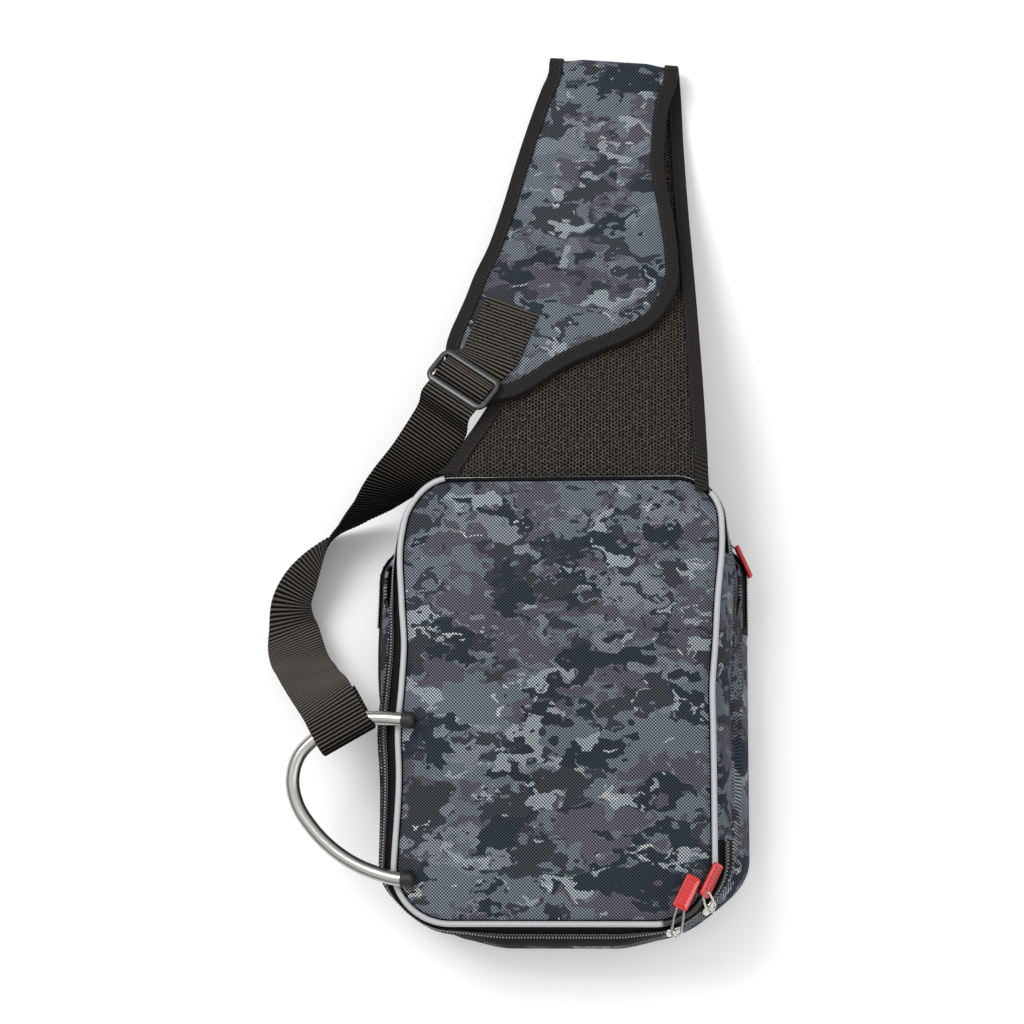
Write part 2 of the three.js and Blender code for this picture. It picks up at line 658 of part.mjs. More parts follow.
const patchMiddle = [STRAP_X + PATCH_X * STRAP_W, FOLD_Y - PATCH_ALONG * FLAP_RUN];
const glideMiddle = [STRAP_X + GLIDE_X * STRAP_W, FOLD_Y - GLIDE_ALONG * FLAP_RUN];
const glideFrame = (() => {
  const { ahead, across } = turned(GLIDE_TURN);
  const at = (dx, dy) => overFlap(glideMiddle[0] + dx, glideMiddle[1] + dy, WEBBING_LIFT);
  const origin = at(0, 0);
  const a = at(ahead.x, ahead.y).sub(at(-ahead.x, -ahead.y));
  a.normalize();
  const c = at(across.x, across.y).sub(at(-across.x, -across.y));
  c.normalize();
  const up = c.clone().cross(a).normalize();
  if (up.z < 0) up.negate();
  c.copy(a).cross(up).normalize();
  if (c.x < 0) c.negate();
  return { origin, ahead: a, across: c, up };
})();

const BAR_LIFT = WEBBING_T / 2 + GAP;                 // underside of the outer bars over the webbing's middle
const MID_LIFT = BAR_LIFT - GLIDE_STEP + GLIDE_MID / 2 + GAP + WEBBING_T / 2;

function onGlide(ahead, lift) {
  const { origin, ahead: a, up } = glideFrame;
  return origin.clone().addScaledVector(a, ahead).addScaledVector(up, lift);
}

// Sub-part: ring, in a plane that droops outwards from the panel's edge
const RING_Z = PIPING_Z + PIPING_R + GAP + BOOT_R;
const RING_X = -PANEL_W / 2 + RING_IN;

function ringPoint({ chord, reach }) {
  const out = reach * RING_REACH;
  const x = RING_X - out * Math.cos(rad(RING_TILT));
  return vec(x, RING_TOP_Y - chord * RING_CHORD, RING_Z - out * Math.sin(rad(RING_TILT)));
}

const ringCurve = new THREE.CatmullRomCurve3(RING_ROWS.map(ringPoint));

function roundSection(radius, sides) {
  const points = [];
  for (let i = 0; i < sides; i += 1) {
    const angle = ((i + 0.5) * 2 * Math.PI) / sides;
    points.push(new THREE.Vector2(radius * Math.cos(angle), radius * Math.sin(angle)));
  }
  return new THREE.Shape(points);
}

function tube(curve, radius, sides, steps) {
  const options = { steps, extrudePath: curve, bevelEnabled: false };
  return new THREE.ExtrudeGeometry(roundSection(radius, sides), options);
}

// Where the webbing holds the ring: its width follows the ring's plane, and its loop clears the rod
const loopFrame = (() => {
  const swing = rad(LOOP_SWING);
  const slope = Math.sin(rad(RING_TILT));
  const across = vec(Math.cos(swing), Math.sin(swing), slope * Math.cos(swing)).normalize();
  const ahead = vec(Math.sin(swing), -Math.cos(swing), slope * Math.sin(swing)).normalize();
  const up = across.clone().cross(ahead).negate().normalize();
  if (up.z < 0) up.negate();
  const origin = ringPoint({ chord: 0.035, reach: 0.6 });
  let reach = 0;
  for (let i = 0; i <= 200; i += 1) {
    const rel = ringCurve.getPoint(i / 200).sub(origin);
    if (Math.abs(rel.dot(across)) < WEBBING_W / 2 + 1 && i < 100) reach = Math.max(reach, rel.dot(ahead));
  }
  return { origin, across, ahead, up, reach };
})();
const LOOP_R = ROD_R + LOOP_SLACK + WEBBING_T / 2;

function onLoop(ahead, lift) {
  const { origin, ahead: a, up } = loopFrame;
  return origin.clone().addScaledVector(a, ahead).addScaledVector(up, lift);
}

// Stations of the webbing: the middle of its width and the direction of its width
function webbingStations() {
  const stations = [];
  const put = (at, across) => stations.push({ at, across: across.clone().normalize() });
  const patch = turned(PATCH_TURN);
  for (const share of [-0.5, -0.17, 0.17, 0.5]) {
    const x = patchMiddle[0] + patch.ahead.x * share * PATCH_L;
    const y = patchMiddle[1] + patch.ahead.y * share * PATCH_L;
    const side = (s) => overFlap(x + s * patch.across.x, y + s * patch.across.y, WEBBING_LIFT);
    const half = WEBBING_W / 2;
    put(side(0), side(half).sub(side(-half)));
  }
  const { across } = glideFrame;
  const bar = GLIDE_L / 2;
  const slot = bar - GLIDE_BAR;
  const glideSteps = [
    [-bar, 0], [-slot + 0.5, 0], [-GLIDE_MID / 2 - 0.4, MID_LIFT], [GLIDE_MID / 2 + 0.4, MID_LIFT],
    [slot - 0.5, 0], [bar, 0],
  ];
  for (const [ahead, lift] of glideSteps) put(onGlide(ahead, lift), across);
  const entry = onLoop(-LOOP_ENTRY, LOOP_R);
  const start = glideFrame.origin;
  const line = entry.clone().sub(start);
  line.z = 0;
  const length = line.length();
  line.normalize();
  const out = vec(line.y, -line.x, 0);
  const middles = [onGlide(bar, 0), onGlide(bar + 6, 0)];
  const widths = [across, across];
  for (const row of WEBBING_ROWS) {
    const at = start.clone().addScaledVector(line, row.along * length).addScaledVector(out, row.out * length);
    at.z = row.height * BODY_H;
    const swing = rad(row.swing);
    const lean = rad(row.lean);
    const flat = Math.cos(lean);
    middles.push(at);
    widths.push(vec(flat * Math.cos(swing), flat * Math.sin(swing), -Math.sin(lean)));
  }
  middles.push(onLoop(-2 * LOOP_ENTRY, LOOP_R - 1), entry);
  widths.push(loopFrame.across, loopFrame.across);
  const middle = new THREE.CatmullRomCurve3(middles, false, 'centripetal');
  const width = new THREE.CatmullRomCurve3(widths, false, 'centripetal');
  const steps = 2 * (middles.length - 1);
  for (let i = 1; i <= steps; i += 1) put(middle.getPoint(i / steps), width.getPoint(i / steps));
  const { reach } = loopFrame;
  for (let i = 0; i <= LOOP_BEND; i += 1) {
    const turn = (Math.PI * i) / LOOP_BEND;
    put(onLoop(reach + LOOP_R * Math.sin(turn), LOOP_R * Math.cos(turn)), loopFrame.across);
  }
  put(onLoop(reach - LOOP_BACK / 2, -LOOP_R), loopFrame.across);
  put(onLoop(reach - LOOP_BACK, -LOOP_R + 1), loopFrame.across);
  return stations;
}

function webbing() {
  const stations = webbingStations();
  const sections = stations.map(({ at, across }, i) => {
    const before = stations[Math.max(i - 1, 0)].at;
    const after = stations[Math.min(i + 1, stations.length - 1)].at;
    const ahead = after.clone().sub(before).normalize();
    const side = across.clone().addScaledVector(ahead, -across.dot(ahead)).normalize();
    const normal = side.clone().cross(ahead).normalize();
    const corners = [[-1, 1], [1, 1], [1, -1], [-1, -1]];
    return corners.map(([s, t]) => at.clone()
      .addScaledVector(side, (s * WEBBING_W) / 2)
      .addScaledVector(normal, (t * WEBBING_T) / 2));
  });
  return loft(sections);
}

// Adjuster: a frame over the webbing, with a lower middle bar that the webbing passes over
function triGlide() {
  const width = WEBBING_W + 2 * (GLIDE_RAIL + 4 * GAP);
  const hole = roundedShape(GLIDE_L - 2 * GLIDE_BAR, width - 2 * GLIDE_RAIL, 1.5, 2).reverse();
  const frame = plate(roundedShape(GLIDE_L, width, 5), GLIDE_T, [hole]);
  frame.translate(0, 0, BAR_LIFT);
  const low = BAR_LIFT - GLIDE_STEP;
  const bar = new THREE.BoxGeometry(GLIDE_MID, width - GLIDE_RAIL, GLIDE_MID / 2);
  bar.translate(0, 0, low + GLIDE_MID / 4);
  let solid = toSolid(frame).add(toSolid(bar));
  for (const side of [-1, 1]) {
    const rail = new THREE.BoxGeometry(GLIDE_L / 2, GLIDE_RAIL, GLIDE_STEP + GLIDE_T / 2);
    rail.translate(0, (side * (width - GLIDE_RAIL)) / 2, low + (GLIDE_STEP + GLIDE_T / 2) / 2);
    solid = solid.add(toSolid(rail));
  }
  const geometry = toGeometry(solid);
  const { origin, ahead, across, up } = glideFrame;
  const basis = new THREE.Matrix4().makeBasis(ahead, across, up);
  if (basis.determinant() < 0) basis.makeBasis(ahead, across.clone().negate(), up);
  basis.setPosition(origin);
  geometry.applyMatrix4(basis);
  return geometry;
}

// Rubber boot: a cup on the rod's end, lathed about the rod's axis
function boot() {
  const bore = ROD_R + GAP;
  const deep = BOOT_L / 2;
  const profile = [
    [0, 0], [BOOT_R * 0.45, 0], [BOOT_R * 0.8, BOOT_L * 0.08], [BOOT_R, BOOT_L * 0.3],
    [BOOT_R, BOOT_L], [bore, BOOT_L], [bore, deep], [0, deep],
  ];
  const geometry = new THREE.LatheGeometry(profile.map(([r, h]) => new THREE.Vector2(r, h)), 12);
  geometry.rotateZ(-Math.PI / 2);
  return geometry;
}

// A boot at each end of the ring, slid on along the rod's own direction
function addBoots() {
  const ends = [
    { name: 'boot_upper', at: ringCurve.getPoint(0), along: ringCurve.getTangent(0) },
    { name: 'boot_lower', at: ringCurve.getPoint(1), along: ringCurve.getTangent(1).negate() },
  ];
  for (const end of ends) {
    const mesh = add(end.name, boot(), INK.black, 0.7);
    const origin = end.at.clone().addScaledVector(end.along, -BOOT_L / 2 - GAP);
    poseMesh(mesh, origin, end.along, vec(0, 0, 1));
  }
}

// Sub-part: zip pulls. A slider's body sits over the teeth, a wire link joins it to the rubber tab.
// Its arch stands across the teeth, or along them when turned.
const ARCH_LIFT = SLIDER_T + (ARCH_H - ARCH_W) / 2;
const HOOK_LIFT = ARCH_LIFT + ARCH_H / 2 + 3 * GAP + WIRE_R;

function sliderBody(alongTeeth) {
  const body = plate(roundedShape(SLIDER_L, SLIDER_W, 2, 2), SLIDER_T);
  const length = SLIDER_L * 0.7;
  const eye = roundedShape(length - ARCH_H + ARCH_EYE, ARCH_EYE, 1, 2).reverse();
  const arch = plate(roundedShape(length, ARCH_H, 1.5, 2), ARCH_W, [eye]);
  arch.translate(0, 0, -ARCH_W / 2);
  arch.rotateX(Math.PI / 2);
  if (!alongTeeth) arch.rotateZ(Math.PI / 2);
  arch.translate(0, 0, ARCH_LIFT);
  return toGeometry(toSolid(body).add(toSolid(arch)));
}

// Closed loop of wire, length between the middles of its ends
function wireLink(length) {
  const points = roundedShape(length, WIRE_W, WIRE_W / 2, 3).map((p) => vec(p.x, p.y, 0));
  return new THREE.TubeGeometry(new THREE.CatmullRomCurve3(points, true), 24, WIRE_R, 6, true);
}

function pullTab() {
  const inset = PULL_L / 2 - 1.3 * EYE_L;
  const eye = roundedShape(EYE_L, EYE_W, 1.1, 2).map((p) => new THREE.Vector2(p.x - inset, p.y)).reverse();
  const geometry = plate(roundedShape(PULL_L, PULL_W, 2, 3), PULL_T, [eye]);
  geometry.translate(0, 0, -PULL_T / 2);
  return geometry;
}

function poseMesh(mesh, origin, x, z) {
  const ax = x.clone().normalize();
  const ay = z.clone().cross(ax).normalize();
  const az = ax.clone().cross(ay).normalize();
  const matrix = new THREE.Matrix4().makeBasis(ax, ay, az).setPosition(origin);
  matrix.decompose(mesh.position, mesh.quaternion, mesh.scale);
}

// A point of a corner by its angle, at a distance out from the corner's arc
function onCorner(form, name, sx, sy, angle, out, z) {
  const r = form.radii[name];
  const nx = Math.cos(rad(angle));
  const ny = Math.sin(rad(angle));
  const cx = sx * (form.half - r);
  const cy = (sy > 0 ? form.top : form.bottom) - sy * r;
  const s = station(form, cx + r * nx, cy + r * ny, nx, ny);
  return { at: vec(s.x + out * nx, s.y + out * ny, z), out: vec(nx, ny, 0), along: vec(-ny, nx, 0), s };
}

function bandRow(section, down) {
  const rows = [...section].reverse();
  const row = { down };
  for (const key of ['side', 'top', 'bottom']) row[key] = read(rows, 'down', key, down);
  return row;
}

// How far a band stands out at a station
function bandOut(s, section, bulge, down) {
  const [x, y] = placed(s, bandRow(section, down), bulge, 0);
  return Math.hypot(x - s.x, y - s.y);
}

const MAIN_ZIP = {
  form: BODY_FORM, corner: ['br', 1, -1], section: TAPE_SECTION, bulge: BULGE, down: CHAIN_DOWN,
  z: TAPE_TOP - CHAIN_DOWN * TAPE_H, rest: PIPING_Z + PIPING_R,
};
const POCKET_ZIP = {
  form: POCKET_FORM, corner: ['tr', 1, 1], section: POCKET_SECTION, bulge: POCKET_BULGE, down: POCKET_ZIP_DOWN,
  z: POCKET_H - POCKET_ZIP_DOWN * (POCKET_H - CLOTH - GAP), rest: POCKET_H - POCKET_ZIP_DOWN * POCKET_H,
};
// Slider: angle round its corner and how far it faces up. Tab: angle and distance out from the corner's
// arc, height over what it rests on, heading, pitch, and tilt about its own length, in degrees.
const PULLS = [
  { name: '1', zip: MAIN_ZIP, angle: -74, face: 35, tab: -42.4, out: -10.9, lift: 5.2, heading: 63.6, pitch: -9,
    tilt: 5 },
  { name: '2', zip: MAIN_ZIP, angle: -40, face: 35, tab: -18, out: 2.4, lift: 5.4, heading: 64, pitch: -4,
    tilt: 52 },
  { name: '3', zip: POCKET_ZIP, angle: 84, face: 0, tab: 27, out: 22.4, lift: 1, heading: -65.7, pitch: 0,
    tilt: 86 },
];

function addPulls() {
  for (const pull of PULLS) {
    const { zip } = pull;
    const spot = onCorner(zip.form, ...zip.corner, pull.angle, 0, zip.z);
    const seat = bandOut(spot.s, zip.section, zip.bulge, zip.down) + CHAIN_T + SLIDER_SEAT;
    const face = rad(pull.face);
    const out = spot.out.clone().multiplyScalar(Math.cos(face)).add(vec(0, 0, Math.sin(face)));
    const at = spot.at.clone().addScaledVector(spot.out, seat);
    const slider = add(`slider_${pull.name}`, sliderBody(pull.face === 0), METAL.zinc, 0.35, 1);
    poseMesh(slider, at, spot.along, out);
    const hook = at.clone().addScaledVector(out, HOOK_LIFT);
    const heading = rad(pull.heading);
    const pitch = rad(pull.pitch);
    const ahead = vec(Math.cos(pitch) * Math.cos(heading), Math.cos(pitch) * Math.sin(heading), Math.sin(pitch));
    const { at: middle } = onCorner(zip.form, ...zip.corner, pull.tab, pull.out, zip.rest + pull.lift);
    const side = vec(0, 0, 1).cross(ahead).normalize();
    const level = ahead.clone().cross(side).normalize();
    const tilt = rad(pull.tilt);
    const normal = level.multiplyScalar(Math.cos(tilt)).addScaledVector(side, -Math.sin(tilt));
    const tab = add(`pull_tab_${pull.name}`, pullTab(), 0xc43a3a, 0.6);
    poseMesh(tab, middle, ahead, normal);
    const width = pull.face === 0 ? vec(0, 0, 1) : spot.along;
    const tabEnd = middle.clone().addScaledVector(ahead, -PULL_L / 2);
    const fore = tabEnd.clone().sub(hook).normalize().dot(ahead);
    const clear = 2 * GAP + WIRE_R + (Math.hypot(fore, width.dot(ahead)) - fore) * (WIRE_W / 2);
    const near = tabEnd.addScaledVector(ahead, -clear);
    const reach = near.clone().sub(hook);
    const wire = add(`pull_wire_${pull.name}`, wireLink(reach.length()), METAL.steel, 0.3, 1);
    poseMesh(wire, hook.clone().add(near).multiplyScalar(0.5), reach, width.clone().cross(reach));
  }
}

// A row of teeth that follows a band's outside
function teeth(stations, section, bulge, low, high, down) {
  const span = high - low;
  const half = CHAIN_W / 2 / span;
  const rows = [down + half, down, down - half].map((at) => bandRow(section, at));
  return band(stations, rows, bulge, low, high, false, GAP + CHAIN_T, CHAIN_T);
}

// The pocket's zip runs round its upper edge, from one side to the other
function pocketTeeth() {
  const from = pocketStations.length - 3;
  const loop = [...pocketStations.slice(from), ...pocketStations.slice(0, ARC_STEPS * 2 + END_STEPS + 4)];
  return teeth(loop, POCKET_SECTION, POCKET_BULGE, CLOTH + GAP, POCKET_H, POCKET_ZIP_DOWN);
}

const pipingStart = zipStations.findIndex((s) => s.x < STRAP_X - STRAP_W / 2 - PIPING_R);

function pipingCurve() {
  const flat = { side: 0, top: 0, bottom: 0 };
  const ends = bodyStations.slice(pipingStart);
  const topRight = corner(BODY_FORM, 'tr', 1, 1, 0).slice(0, 2);
  const points = [...ends, ...topRight].map((s) => placed(s, flat, 0, 0));
  return new THREE.CatmullRomCurve3(points.map(([x, y]) => vec(x, y, PIPING_Z)), false, 'centripetal');
}

add('back_panel', backPanel(), INK.camo);
add('piping', tube(pipingCurve(), PIPING_R, 6, 60), INK.piping, 0.5);
add('zip_band', band(zipStations, TAPE_SECTION, BULGE, TAPE_LOW, TAPE_TOP, false), INK.black);
add('zip_teeth', teeth(zipStations, TAPE_SECTION, BULGE, TAPE_LOW, TAPE_TOP, CHAIN_DOWN), INK.black, 0.45);
add('hinge', band(hingeStations, TAPE_SECTION, BULGE, TAPE_LOW, TAPE_TOP, false), INK.camo);
add('side_wall', band(bodyStations, WALL_SECTION, BULGE, WALL_LOW, TAPE_LOW - GAP, true), INK.camo);
add('divider', flatPlate(bodyStations, WALL_SECTION[0], BULGE, 0, DIVIDER_LOW, CLOTH), INK.camo);
add('pocket_wall', band(pocketStations, POCKET_SECTION, POCKET_BULGE, CLOTH + GAP, POCKET_H, true), INK.camo);
add('pocket_panel', flatPlate(pocketStations, POCKET_SECTION[0], POCKET_BULGE, 0, 0, CLOTH), INK.camo);
add('strap_outer', strapLayer(outerFace, outerBack), INK.camo);
add('strap_pad', strapLayer(padBack, padFace), INK.mesh);
add('strap_binding', strapBinding(), INK.black);
add('webbing', webbing(), INK.webbing);
add('tri_glide', triGlide(), INK.black, 0.3);
add('ring', tube(ringCurve, ROD_R, 8, 44), METAL.steel, 0.3, 1);
addBoots();
addPulls();
add('pocket_teeth', pocketTeeth(), INK.black, 0.45);

export default group;
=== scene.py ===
# %% [markdown]
# A sling bag for fishing tackle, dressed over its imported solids.
#
# The bag lies on its front pocket. Its soft pieces are surfaces worked out with numpy from the same
# sizes as the solids, in millimetres, and go into Blender in metres. Each step says what the piece is
# on the real bag, how it could be made, and why this way was chosen.

# %% Load the frame
import bpy
import numpy as np
from mathutils import Matrix


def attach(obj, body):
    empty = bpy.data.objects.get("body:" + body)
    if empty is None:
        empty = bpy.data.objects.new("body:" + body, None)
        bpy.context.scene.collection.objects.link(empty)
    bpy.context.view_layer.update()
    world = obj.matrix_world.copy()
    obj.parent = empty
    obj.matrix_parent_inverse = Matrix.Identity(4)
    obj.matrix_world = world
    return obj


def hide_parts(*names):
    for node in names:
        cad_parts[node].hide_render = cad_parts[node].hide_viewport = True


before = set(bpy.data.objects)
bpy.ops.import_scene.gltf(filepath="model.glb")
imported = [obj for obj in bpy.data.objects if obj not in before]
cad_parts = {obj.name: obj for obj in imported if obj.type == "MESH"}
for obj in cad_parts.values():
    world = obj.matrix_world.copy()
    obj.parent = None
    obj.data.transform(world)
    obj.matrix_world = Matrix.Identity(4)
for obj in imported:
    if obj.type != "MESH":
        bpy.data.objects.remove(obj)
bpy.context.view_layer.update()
scene = bpy.context.scene
MM = 0.001

# %% [markdown]
# The camera comes first, because every later piece is judged through it. The photograph was taken from
# nearly above, a little from the strap's side, with a long lens. Its place was worked out from edges
# whose heights are known, so it is set as numbers and an orientation.

# %% Camera
def orient(right, up, place):
    """Matrix whose columns are right, up and their cross product, at place."""
    right, up = np.array(right), np.array(up)
    right = right / np.linalg.norm(right)
    back = np.cross(right, up)
    back = back / np.linalg.norm(back)
    matrix = np.eye(4)
    matrix[:3, 0], matrix[:3, 1], matrix[:3, 2], matrix[:3, 3] = right, np.cross(back, right), back, place
    return Matrix(matrix.tolist())


camera_data = bpy.data.cameras.new("camera")
camera_data.lens = 98.23
camera_data.sensor_width = 36.0
camera = bpy.data.objects.new("camera", camera_data)
scene.collection.objects.link(camera)
camera.matrix_world = orient((0.99754, 0.0, -0.0701), (0.00845, 0.99271, 0.12023), (0.1006, -0.1012, 1.9735))
scene.camera = camera
print("camera at", tuple(round(v, 3) for v in camera.location))

# %% [markdown]
# Studio light on a pale floor. The floor could be a curved backdrop, but from above only its colour
# shows, so it is one large plane. A sky that is bright overhead and dim at the horizon keeps the shadows
# weak and gives steel its dark edges, and a large soft lamp from the upper left gives cloth its relief.

# %% Light and floor
def add_node(tree, kind, inputs=None, **settings):
    """Adds a node: settings are its properties, inputs its sockets' values or the outputs linked to them."""
    item = tree.nodes.new(kind)
    for key, value in settings.items():
        setattr(item, key, value)
    for key, value in (inputs or {}).items():
        if isinstance(value, bpy.types.NodeSocket):
            tree.links.new(value, item.inputs[key])
        else:
            item.inputs[key].default_value = value
    return item


def mapped(tree, value, low, high, to_low=0.0, to_high=1.0):
    """A number changed in a straight line from low..high to to_low..to_high, and held at both ends."""
    return add_node(tree, "ShaderNodeMapRange", {"Value": value, "From Min": low, "From Max": high,
                                                 "To Min": to_low, "To Max": to_high}).outputs[0]


def linear(hex_colour):
    """sRGB hex to linear RGBA: c / 12.92 up to 0.04045, else ((c + 0.055) / 1.055) to the power 2.4."""
    value = np.array([int(hex_colour[i:i + 2], 16) / 255 for i in (1, 3, 5)])
    out = np.where(value <= 0.04045, value / 12.92, ((value + 0.055) / 1.055) ** 2.4)
    return (*out.tolist(), 1.0)


scene.view_settings.view_transform = "Standard"
world = bpy.data.worlds.new("studio")
scene.world = world
world.use_nodes = True
sky = world.node_tree
direction = add_node(sky, "ShaderNodeTexCoord").outputs["Generated"]
height = add_node(sky, "ShaderNodeSeparateXYZ", {0: direction}).outputs[2]
sky.links.new(mapped(sky, height, 0.1, 0.75, 0.08, 1.05), sky.nodes["Background"].inputs["Strength"])
sky.nodes["Background"].inputs["Color"].default_value = linear("#ffffff")

LAMPS = [
    {"name": "key", "place": (-0.9, 0.9, 1.9), "size": 1.0, "power": 26.0},
    {"name": "fill", "place": (1.2, -0.6, 1.6), "size": 1.6, "power": 8.0},
]
for row in LAMPS:
    lamp = bpy.data.lights.new(row["name"], "AREA")
    lamp.size = row["size"]
    lamp.energy = row["power"]
    holder = bpy.data.objects.new(row["name"], lamp)
    scene.collection.objects.link(holder)
    back = np.array(row["place"]) - np.array([0.0, 0.1, 0.05])
    holder.matrix_world = orient(np.cross([0.0, 1.0, 0.0], back), (0.0, 1.0, 0.0), row["place"])

FLOOR_HALF, FLOOR_Z = 4.0, -0.0005
floor_corners = [(x * FLOOR_HALF, y * FLOOR_HALF, FLOOR_Z) for x, y in ((-1, -1), (1, -1), (1, 1), (-1, 1))]
floor_mesh = bpy.data.meshes.new("floor")
floor_mesh.from_pydata(floor_corners, [], [(0, 1, 2, 3)])
floor = bpy.data.objects.new("floor", floor_mesh)
scene.collection.objects.link(floor)
paint = bpy.data.materials.new("white_painted_board")
paint.use_nodes = True
paint_shader = paint.node_tree.nodes["Principled BSDF"]
paint_shader.inputs["Base Color"].default_value = linear("#fbfbfb")
paint_shader.inputs["Roughness"].default_value = 0.9
floor_mesh.materials.append(paint)
print("lamps", [row["name"] for row in LAMPS])

# %% [markdown]
# Every surface here is a grid of points: rows run along the piece, columns across it. One function
# turns such a grid into a mesh and lays a map on it in metres, so that a weave keeps its true size.
# Blender's own operators could do this point by point, but whole arrays are quicker and exact.

# %% Grid to mesh
def as_mesh(name, points, quads, triangles=None, maps=None):
    """Mesh from points in millimetres; maps gives each face corner its U and V, in metres."""
    mesh = bpy.data.meshes.new(name)
    quads = np.asarray(quads, np.int32).reshape(-1, 4)
    triangles = np.asarray([] if triangles is None else triangles, np.int32).reshape(-1, 3)
    corners = np.concatenate([quads.ravel(), triangles.ravel()])
    starts = np.concatenate([np.arange(len(quads)) * 4, 4 * len(quads) + np.arange(len(triangles)) * 3])
    mesh.vertices.add(len(points))
    mesh.vertices.foreach_set("co", (np.asarray(points) * MM).astype(np.float32).ravel())
    mesh.loops.add(len(corners))
    mesh.loops.foreach_set("vertex_index", corners)
    mesh.polygons.add(len(starts))
    mesh.polygons.foreach_set("loop_start", starts.astype(np.int32))
    mesh.polygons.foreach_set("use_smooth", np.ones(len(starts), bool))
    mesh.update(calc_edges=True)
    if maps is not None:
        layer = mesh.uv_layers.new(name="weave")
        layer.data.foreach_set("uv", np.asarray(maps, np.float32).ravel())
    mesh.validate()
    return mesh


def grid_mesh(name, grid, wrap_rows=False, wrap_columns=False, u=None, v=None, caps=False):
    """Mesh of a grid (rows, columns, 3). Wrapped ways join their last line to the first; caps close both
    ends of a tube with a fan, or with a strip between its two faces where they are "strip". u and v are
    the map's values by row and column, one more where it wraps."""
    rows, columns = grid.shape[:2]
    across = rows if wrap_rows else rows - 1
    along = columns if wrap_columns else columns - 1
    i, j = np.meshgrid(np.arange(across), np.arange(along), indexing="ij")
    i, j = i.ravel(), j.ravel()
    i2, j2 = i + 1, j + 1
    at = lambda a, b: (a % rows) * columns + b % columns
    quads = np.stack([at(i, j), at(i2, j), at(i2, j2), at(i, j2)], 1)
    u = np.zeros((across + 1, along + 1)) if u is None else np.broadcast_to(u, (across + 1, along + 1))
    v = np.zeros((across + 1, along + 1)) if v is None else np.broadcast_to(v, (across + 1, along + 1))
    pair = lambda a, b: np.stack([u[a, b], v[a, b]], 1)
    maps = np.stack([pair(i, j), pair(i2, j), pair(i2, j2), pair(i, j2)], 1).reshape(-1, 2) * MM
    points = grid.reshape(-1, 3)
    fans = []
    if caps == "strip":
        k = np.arange(columns // 2 - 1)
        ladder = np.stack([k, k + 1, columns - 2 - k, columns - 1 - k], 1)
        quads = np.concatenate([quads, ladder, (rows - 1) * columns + ladder[:, [1, 0, 3, 2]]])
        first = np.stack([u[0, ladder], v[0, ladder]], 2).reshape(-1, 2)
        last = np.stack([u[-1, ladder], v[-1, ladder]], 2)[:, [1, 0, 3, 2]].reshape(-1, 2)
        maps = np.concatenate([maps, first * MM, last * MM])
    elif caps:
        ends = np.stack([grid[0].mean(0), grid[-1].mean(0)])
        points = np.concatenate([points, ends])
        ring = np.arange(columns)
        after = (ring + 1) % columns
        last = (rows - 1) * columns
        middle = np.full(columns, rows * columns)
        fans = np.concatenate([np.stack([ring, after, middle], 1),
                               np.stack([last + after, last + ring, middle + 1], 1)])
        maps = np.concatenate([maps, np.zeros((len(fans) * 3, 2))])
    return as_mesh(name, points, quads, fans, maps)


def signed_volume(mesh):
    """Sum over the triangles of a . (b x c) / 6: positive where the faces look outwards."""
    mesh.calc_loop_triangles()
    tris = np.zeros(len(mesh.loop_triangles) * 3, np.int32)
    mesh.loop_triangles.foreach_get("vertices", tris)
    points = np.zeros(len(mesh.vertices) * 3)
    mesh.vertices.foreach_get("co", points)
    a, b, c = points.reshape(-1, 3)[tris.reshape(-1, 3)].transpose(1, 0, 2)
    return float(np.einsum("ij,ij->", a, np.cross(b, c)) / 6)


def place(name, mesh, material, slot, *nodes):
    """Links a closed mesh as a piece that rides on the bag, turned right side out, in place of CAD nodes."""
    if signed_volume(mesh) < 0:
        mesh.flip_normals()
    piece = bpy.data.objects.new(name, mesh)
    scene.collection.objects.link(piece)
    mesh.materials.append(material)
    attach(piece, "root")
    if nodes:
        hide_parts(*nodes)
    print(name, len(mesh.polygons), "faces")
    return piece


# %% [markdown]
# Smooth curves through a few known points carry nearly every piece. A straight join would leave
# facets and a single polynomial would swing wide, so each span is a cubic whose slopes come from the
# neighbouring points.

# %% Curves
def through(knots, values, at):
    """Cubic Hermite through values at knots: a knot's slope is the three-point difference, one-sided at
    both ends."""
    knots, values = np.asarray(knots, float), np.asarray(values, float)
    wide = knots.reshape(-1, *[1] * (values.ndim - 1))
    step, rise = np.diff(wide, axis=0), np.diff(values, axis=0)
    secant = rise / step
    inner = (secant[:-1] * step[1:] + secant[1:] * step[:-1]) / (step[:-1] + step[1:])
    slope = np.concatenate([secant[:1], inner, secant[-1:]])
    at = np.clip(np.asarray(at, float), knots[0], knots[-1])
    k = np.clip(np.searchsorted(knots, at, side="right") - 1, 0, len(knots) - 2)
    h = step[k]
    t = ((at - knots[k]).reshape(-1, *[1] * (values.ndim - 1))) / h
    return ((2 * t**3 - 3 * t**2 + 1) * values[k] + (t**3 - 2 * t**2 + t) * h * slope[k]
            + (3 * t**2 - 2 * t**3) * values[k + 1] + (t**3 - t**2) * h * slope[k + 1])


def lengths(points):
    """Distance along a line of points, from its first."""
    return np.concatenate([[0.0], np.cumsum(np.linalg.norm(np.diff(points, axis=0), axis=1))])


def even(points, pitch, fine=24):
    """A line of points drawn smooth through the given ones and cut into equal steps of about pitch."""
    knots = lengths(points)
    dense = through(knots, points, np.linspace(0, knots[-1], fine * len(points)))
    run = lengths(dense)
    count = max(int(round(run[-1] / pitch)), 2)
    target = np.linspace(0, run[-1], count + 1)
    return np.stack([np.interp(target, run, dense[:, k]) for k in range(dense.shape[1])], 1)


def unit(vectors):
    """Vectors divided by their length."""
    return vectors / np.maximum(np.linalg.norm(vectors, axis=-1, keepdims=True), 1e-9)


